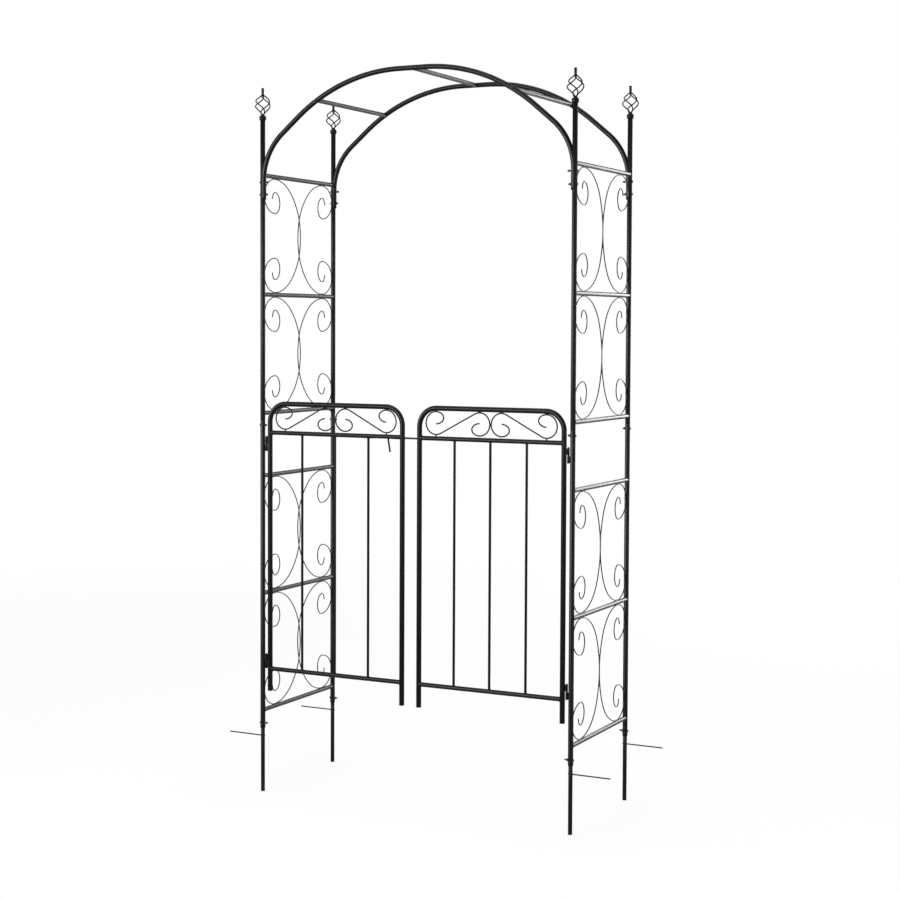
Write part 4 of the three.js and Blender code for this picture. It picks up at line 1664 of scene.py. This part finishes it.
@dataclass(frozen=True)
class SwingGate:
    """One gate: a bent frame tube with rails, bars, two S-scrolls and its side of the hinges."""

    tube_radius: float = 8.0
    outer_stile: float = 514.0
    inner_stile: float = 30.0
    foot: float = 331.0
    lower_rail: float = 403.0
    upper_rail: float = 1167.0
    top: float = 1260.0
    corner_radius: float = 58.0
    rail_radius: float = 7.0
    rail_bore: float = 5.8
    bar_radius: float = 4.0
    bars: tuple[float, ...] = (151.0, 272.0, 393.0)
    wire_radius: float = 2.2
    stub_radius: float = 1.8
    lobe_reach: float = 34.4
    lobe_span: float = 148.3
    eye_reach: float = 26.0
    eye_height: float = 37.4
    bolt_hole: float = 3.3
    slot: Pair = (61.0, 127.3)
    weld_sink: float = 0.2
    rail_bead: float = 1.3
    bar_bead: float = 1.0
    middle: float = 272.0

    def hoop(self) -> Shell:
        """The bent frame tube, made on the +X side.

        Returns:
            Its faces.
        """
        r, top = self.corner_radius, self.top
        tube = Bending(Plane(Vector(), X, Z), self.tube_radius)
        tube.straight((self.outer_stile, self.foot), (self.outer_stile, top - r), 3)
        tube.bend((self.outer_stile - r, top - r), (r, r), (0, 90), 18)
        tube.straight((self.outer_stile - r, top), (self.inner_stile + r, top), 2)
        tube.bend((self.inner_stile + r, top - r), (r, r), (90, 180), 18)
        tube.straight((self.inner_stile, top - r), (self.inner_stile, self.foot), 3)
        shell = Shell()
        shell.tube(tube.stations, 40, (TubeEnd.BORED, TubeEnd.BORED))
        return shell

    def bolt_way(self) -> Shell:
        """The cutter of the hole through the inner stile for the slide bolt.

        Returns:
            Its faces.
        """
        shell = Shell()
        reach = self.tube_radius + 4.0
        shell.turned(Vector((0, 0, LAYOUT.slide_bolt)), X, Y, [
            (self.bolt_hole, self.inner_stile - reach), (self.bolt_hole, self.inner_stile + reach)], 32)
        return shell

    def rail(self, height: float) -> Shell:
        """A rail between the stiles, as a thick tube.

        Args:
            height: The height of its axis.

        Returns:
            The rail's faces.
        """
        inner, outer = (Meeting(Vector((x, 0, height)), Z, self.tube_radius - self.weld_sink)
                        for x in (self.inner_stile, self.outer_stile))
        sides = 36
        skins = []
        for radius in (self.rail_bore, self.rail_radius):
            last = outer.saddle(-X, radius, sides)
            skins.append((inner.saddle(X, radius, sides), [last[-k % sides] for k in range(sides)]))
        (bore_start, bore_end), (start, end) = skins
        shell = Shell()
        shell.loft([bore_end, bore_start, start, end], closed=True)
        return shell

    def rail_welds(self, height: float) -> Shell:
        """The beads at a rail's two ends.

        Args:
            height: The height of its axis.

        Returns:
            The beads' faces.
        """
        shell = Shell()
        for x, way in ((self.inner_stile, X), (self.outer_stile, -X)):
            meeting = Meeting(Vector((x, 0, height)), Z, self.tube_radius)
            shell.weld(meeting, way, self.rail_radius, self.rail_bead)
        return shell

    def slide_slot(self) -> Shell:
        """The cutter of the slot under the upper rail for the slide bolt's handle.

        Returns:
            Its faces.
        """
        low, high = self.slot
        shell = Shell()
        half = self.bolt_hole
        outline = [(high - half + half * math.cos(a), half * math.sin(a))
                   for a in (math.radians(d) for d in range(-90, 91, 15))]
        outline += [(low + half + half * math.cos(a), half * math.sin(a))
                    for a in (math.radians(d) for d in range(90, 271, 15))]
        shell.loft([[Vector((x, y, height)) for x, y in outline]
                    for height in (self.upper_rail - 2 * self.rail_radius, self.upper_rail - 1.0)])
        return shell

    def bar(self, x: float) -> Shell:
        """An upright bar between the rails, with its beads.

        Args:
            x: Its place across the gate.

        Returns:
            Their faces.
        """
        shell = Shell()
        low, high = (Meeting(Vector((x, 0, height)), X, self.rail_radius - self.weld_sink)
                     for height in (self.lower_rail, self.upper_rail))
        shell.coped(low, high, self.bar_radius, 28)
        for meeting, way in ((low, Z), (high, -Z)):
            shell.weld(Meeting(meeting.at, X, self.rail_radius), way, self.bar_radius, self.bar_bead)
        return shell

    def scroll(self) -> Shell:
        """One S-scroll of the top panel, on the +X side of the gate's middle.

        Returns:
            The scroll's faces.
        """
        r = self.wire_radius
        top = self.top - self.tube_radius - LAYOUT.seat_gap - r
        bottom = self.upper_rail + self.rail_radius + 3.0 + r
        half = (top - bottom) / 2
        centre = (top + bottom) / 2
        inner = self.lobe_reach + r + LAYOUT.seat_gap / 2
        outer = inner + self.lobe_span
        eye = self.eye_height / 2
        leave = math.acos(2 * self.lobe_reach / self.lobe_span)
        out, rise = self.lobe_reach * math.cos(leave), half * math.sin(leave)
        touch = math.degrees(leave)
        wire = Bending(Plane(Vector(), X, Z), r)
        wire.bend((inner, bottom + eye), (self.eye_reach, eye), (90, -90), 20)
        wire.bend((inner, centre), (self.lobe_reach, half), (270, touch), 30)
        wire.straight((inner + out, centre + rise), (outer - out, centre - rise), 4)
        wire.bend((outer, centre), (self.lobe_reach, half), (touch - 180, 90), 30)
        wire.bend((outer, top - eye), (self.eye_reach, eye), (90, 270), 20)
        shell = Shell()
        shell.tube(wire.stations, 16, (TubeEnd.DOMED, TubeEnd.DOMED))
        rail_top = self.upper_rail + self.rail_radius
        shell.turned(X * outer, Z, Y, [
            (self.stub_radius + 0.9, rail_top - 0.3), (self.stub_radius + 0.5, rail_top + 0.5),
            (self.stub_radius, rail_top + 1.2), (self.stub_radius, bottom)], 18,
            lambda a, radius, h: radius * (1 + 0.05 * math.sin(5 * a)))
        for x in (inner, outer):
            for way in (-1, 1):
                shell.dab(Vector((x + way * 2.6, 0.6 * way, top + r - 0.5)), X, 2.8, 1.15)
        shell.dab(Vector((0.15, 0.9, centre)), Z, 3.2, 1.2)
        return shell

    def build(self, bench: Bench) -> None:
        """Makes both gates.

        Args:
            bench: Where the pieces are fitted.
        """
        for side, body in ((Side.LEFT, Body.LEFT_GATE), (Side.RIGHT, Body.RIGHT_GATE)):
            place = placed(y=-LAYOUT.post_y, flip_x=side.value)
            word = side.word
            frame_node = f"{word}_gate_frame"
            bench.fit(f"gate_hoop_{word}", self.hoop(), [frame_node], Slot.GATE, body, place,
                      [self.bolt_way()])
            knuckles = Shell()
            for foot in LAYOUT.hinge_feet:
                HINGE.on_gate(knuckles, X * LAYOUT.hinge_x, foot)
            bench.fit(f"gate_knuckles_{word}", knuckles, [frame_node], Slot.GATE, body, place)
            for rail, height in (("upper", self.upper_rail), ("lower", self.lower_rail)):
                node = f"{word}_gate_{rail}_rail"
                slotted = side is Side.LEFT and rail == "upper"
                bench.fit(f"gate_rail_{rail}_{word}", self.rail(height), [node], Slot.GATE, body, place,
                          [self.slide_slot()] if slotted else [])
                bench.fit(f"gate_rail_{rail}_{word}_welds", self.rail_welds(height), [node], Slot.GATE, body,
                          place)
            for i, x in enumerate(self.bars, start=1):
                bench.fit(f"gate_upright_{word}_{i}", self.bar(x), [f"{word}_gate_bar_{i}"], Slot.GATE, body,
                          place)
            for name, way in (("outer", 1), ("inner", -1)):
                spot = place @ placed(x=self.middle, flip_x=way)
                bench.fit(f"s_scroll_{word}_{name}", self.scroll(), [f"{word}_gate_scroll_{name}"],
                          Slot.GATE_SCROLL, body, spot)


@dataclass(frozen=True)
class SlideBolt:
    """The bent rod that slides in the left gate's upper rail and locks the gates together."""

    radius: float = 3.0
    tip: float = -21.5
    handle_x: float = 73.0
    bend_radius: float = 7.0
    lean: float = 10.0
    handle_drop: float = 45.0

    def faces(self) -> Shell:
        """The rod, made on the +X side.

        Returns:
            Its faces.
        """
        lean = math.radians(self.lean)
        height = LAYOUT.slide_bolt
        bend_z = height - self.bend_radius
        top = (self.handle_x + self.bend_radius * math.cos(lean), bend_z - self.bend_radius * math.sin(lean))
        reach = self.handle_drop - self.bend_radius
        end = (top[0] - math.sin(lean) * reach, top[1] - math.cos(lean) * reach)
        rod = Bending(Plane(Vector(), X, Z), self.radius)
        rod.straight((self.tip, height), (self.handle_x, height), 6)
        rod.bend((self.handle_x, bend_z), (self.bend_radius,) * 2, (90, -self.lean), 12)
        rod.straight(top, end, 4)
        shell = Shell()
        shell.tube(rod.stations, 26, (TubeEnd.DOMED, TubeEnd.DOMED))
        return shell

    def build(self, bench: Bench) -> None:
        """Makes the slide bolt."""
        place = placed(y=-LAYOUT.post_y, flip_x=Side.LEFT.value)
        bench.fit("slide_bolt_rod", self.faces(), ["latch_bolt"], Slot.LATCH, Body.SLIDE_BOLT, place)


# Studio


@dataclass(frozen=True)
class Lamp:
    """A soft rectangular lamp that looks at a point."""

    name: str
    at: Triple
    target: Triple
    size: Pair
    power: float
    gloss_only: bool = False

    def hang(self) -> None:
        """Adds the lamp to the scene."""
        data = bpy.data.lights.new(self.name, "AREA")
        data.shape = "RECTANGLE"
        data.size, data.size_y = self.size
        data.energy = self.power
        lamp = add_object(self.name, data)
        lamp.location = self.at
        lamp.visible_camera = False
        lamp.visible_diffuse = not self.gloss_only
        way = Vector(self.target) - Vector(self.at)
        lamp.rotation_euler = way.to_track_quat("-Z", "Y").to_euler()


@dataclass(frozen=True)
class Studio:
    """The pale floor, the plain light and the camera at the photograph's viewing angle."""

    focal: float = 1789.8
    picture: float = 900.0
    centre: Pair = (460.0, 405.0)
    sensor: float = 36.0
    camera_at: Triple = (2614.2, -5075.9, 1509.6)
    camera_right: Triple = (0.89303, 0.44997, 0.00454)
    camera_forward: Triple = (-0.44937, 0.89227, -0.04373)
    camera_clip: Pair = (0.1, 200.0)
    ambient: float = 0.45
    floor_half: float = 60.0
    floor_sink: float = 0.0005
    floor_colour: Colour = (0.90, 0.90, 0.90, 1.0)
    floor_glow: Pair = (0.80, 1.0)
    floor_fade: Pair = (1.6, 6.0)
    lamps: tuple[Lamp, ...] = (
        Lamp("overhead_softbox", (-0.3, -0.4, 4.8), (0.0, 0.0, 1.2), (3.0, 3.0), 110.0),
        Lamp("front_softbox", (-1.7, -4.4, 1.5), (-0.3, 0.0, 1.3), (1.2, 3.4), 100.0),
        Lamp("front_strip", (-0.6, -4.9, 2.05), (-0.1, 0.0, 2.05), (0.5, 1.8), 170.0, gloss_only=True),
        Lamp("left_panel", (-3.6, -3.4, 1.95), (0.0, 0.0, 1.95), (6.4, 1.6), 480.0, gloss_only=True),
        Lamp("right_strip", (4.4, -1.2, 1.8), (0.0, 0.0, 1.2), (0.4, 3.2), 60.0),
        Lamp("backdrop_softbox", (0.6, 5.6, 2.1), (0.3, 0.0, 1.4), (4.4, 3.6), 120.0),
        Lamp("far_panel", (3.7, 12.0, 2.7), (3.7, 0.0, 2.7), (3.5, 5.0), 600.0, gloss_only=True),
    )

    def camera(self) -> None:
        """Adds the camera and makes it the scene's."""
        data = bpy.data.cameras.new("photo_camera")
        data.sensor_width = self.sensor
        data.lens = self.focal * self.sensor / self.picture
        data.shift_x = -(self.centre[0] - self.picture / 2) / self.picture
        data.shift_y = (self.centre[1] - self.picture / 2) / self.picture
        data.clip_start, data.clip_end = self.camera_clip
        camera = add_object("photo_camera", data)
        right = Vector(self.camera_right).normalized()
        forward = Vector(self.camera_forward)
        forward = (forward - right * forward.dot(right)).normalized()
        up = right.cross(forward)
        turn = Matrix((right, up, -forward)).transposed().to_4x4()
        camera.matrix_world = Matrix.Translation(Vector(self.camera_at) * MM) @ turn
        bpy.context.scene.camera = camera

    @staticmethod
    def seen(board: Wiring) -> Socket:
        """1 for rays that show the background itself: from the camera, off gloss or through glass.

        Args:
            board: The nodes that it goes into.

        Returns:
            The summed output.
        """
        path = board.add("ShaderNodeLightPath")
        first = board.reckon("ADD", path.outputs["Is Camera Ray"], path.outputs["Is Glossy Ray"])
        both = board.reckon("ADD", first, path.outputs["Is Transmission Ray"])
        return board.reckon("MINIMUM", both, 1.0)

    def floor(self) -> None:
        """Adds the pale floor, which keeps the arch's shadow."""
        mesh = bpy.data.meshes.new("pale_floor")
        work = bmesh.new()
        bmesh.ops.create_grid(work, x_segments=8, y_segments=8, size=self.floor_half)
        work.to_mesh(mesh)
        work.free()
        floor = add_object("pale_floor", mesh)
        floor.location = (0, 0, -self.floor_sink)
        material, board = new_material("pale_floor")
        matt = board.add("ShaderNodeBsdfDiffuse", Color=self.floor_colour)
        glow = board.add("ShaderNodeEmission", Strength=1.0)
        distance = board.add("ShaderNodeVectorMath", {"operation": "LENGTH"})
        board.plug(distance, 0, board.place())
        glow_share = board.fit(distance.outputs["Value"], self.floor_fade, self.floor_glow)
        share = board.reckon("MULTIPLY", self.seen(board), glow_share)
        surface = board.layered(share, matt.outputs["BSDF"], glow.outputs["Emission"])
        board.add("ShaderNodeOutputMaterial", Surface=surface)
        mesh.materials.append(material)

    def sky(self) -> None:
        """Makes the surroundings white to look at, and softly lit."""
        world = bpy.data.worlds.new("white_studio")
        world.use_nodes = True
        board = Wiring(world.node_tree)
        light, white = (board.add("ShaderNodeBackground", Color=WHITE, Strength=strength)
                        for strength in (self.ambient, 1.0))
        surface = board.layered(self.seen(board), light.outputs["Background"], white.outputs["Background"])
        board.add("ShaderNodeOutputWorld", Surface=surface)
        bpy.context.scene.world = world

    def build(self) -> None:
        """Sets up the whole studio."""
        self.camera()
        self.floor()
        self.sky()
        for lamp in self.lamps:
            lamp.hang()
        bpy.context.scene.view_settings.view_transform = "Standard"
        log.info("studio: camera, floor, surroundings and %d lamps", len(self.lamps))


def main() -> None:
    """Builds every sub-assembly in order, then the studio."""
    logging.basicConfig(level=logging.INFO, format="%(message)s")
    bench = Bench()
    assemblies = (PostColumn(), GroundStake(), Finial(), SidePanel(), HOOP, CrossBar(), SwingGate(),
                  SlideBolt())
    for assembly in assemblies:
        assembly.build(bench)
        log.info("%s done, %d pieces so far", type(assembly).__name__, bench.count)
    Studio().build()


if __name__ == "__main__":
    main()
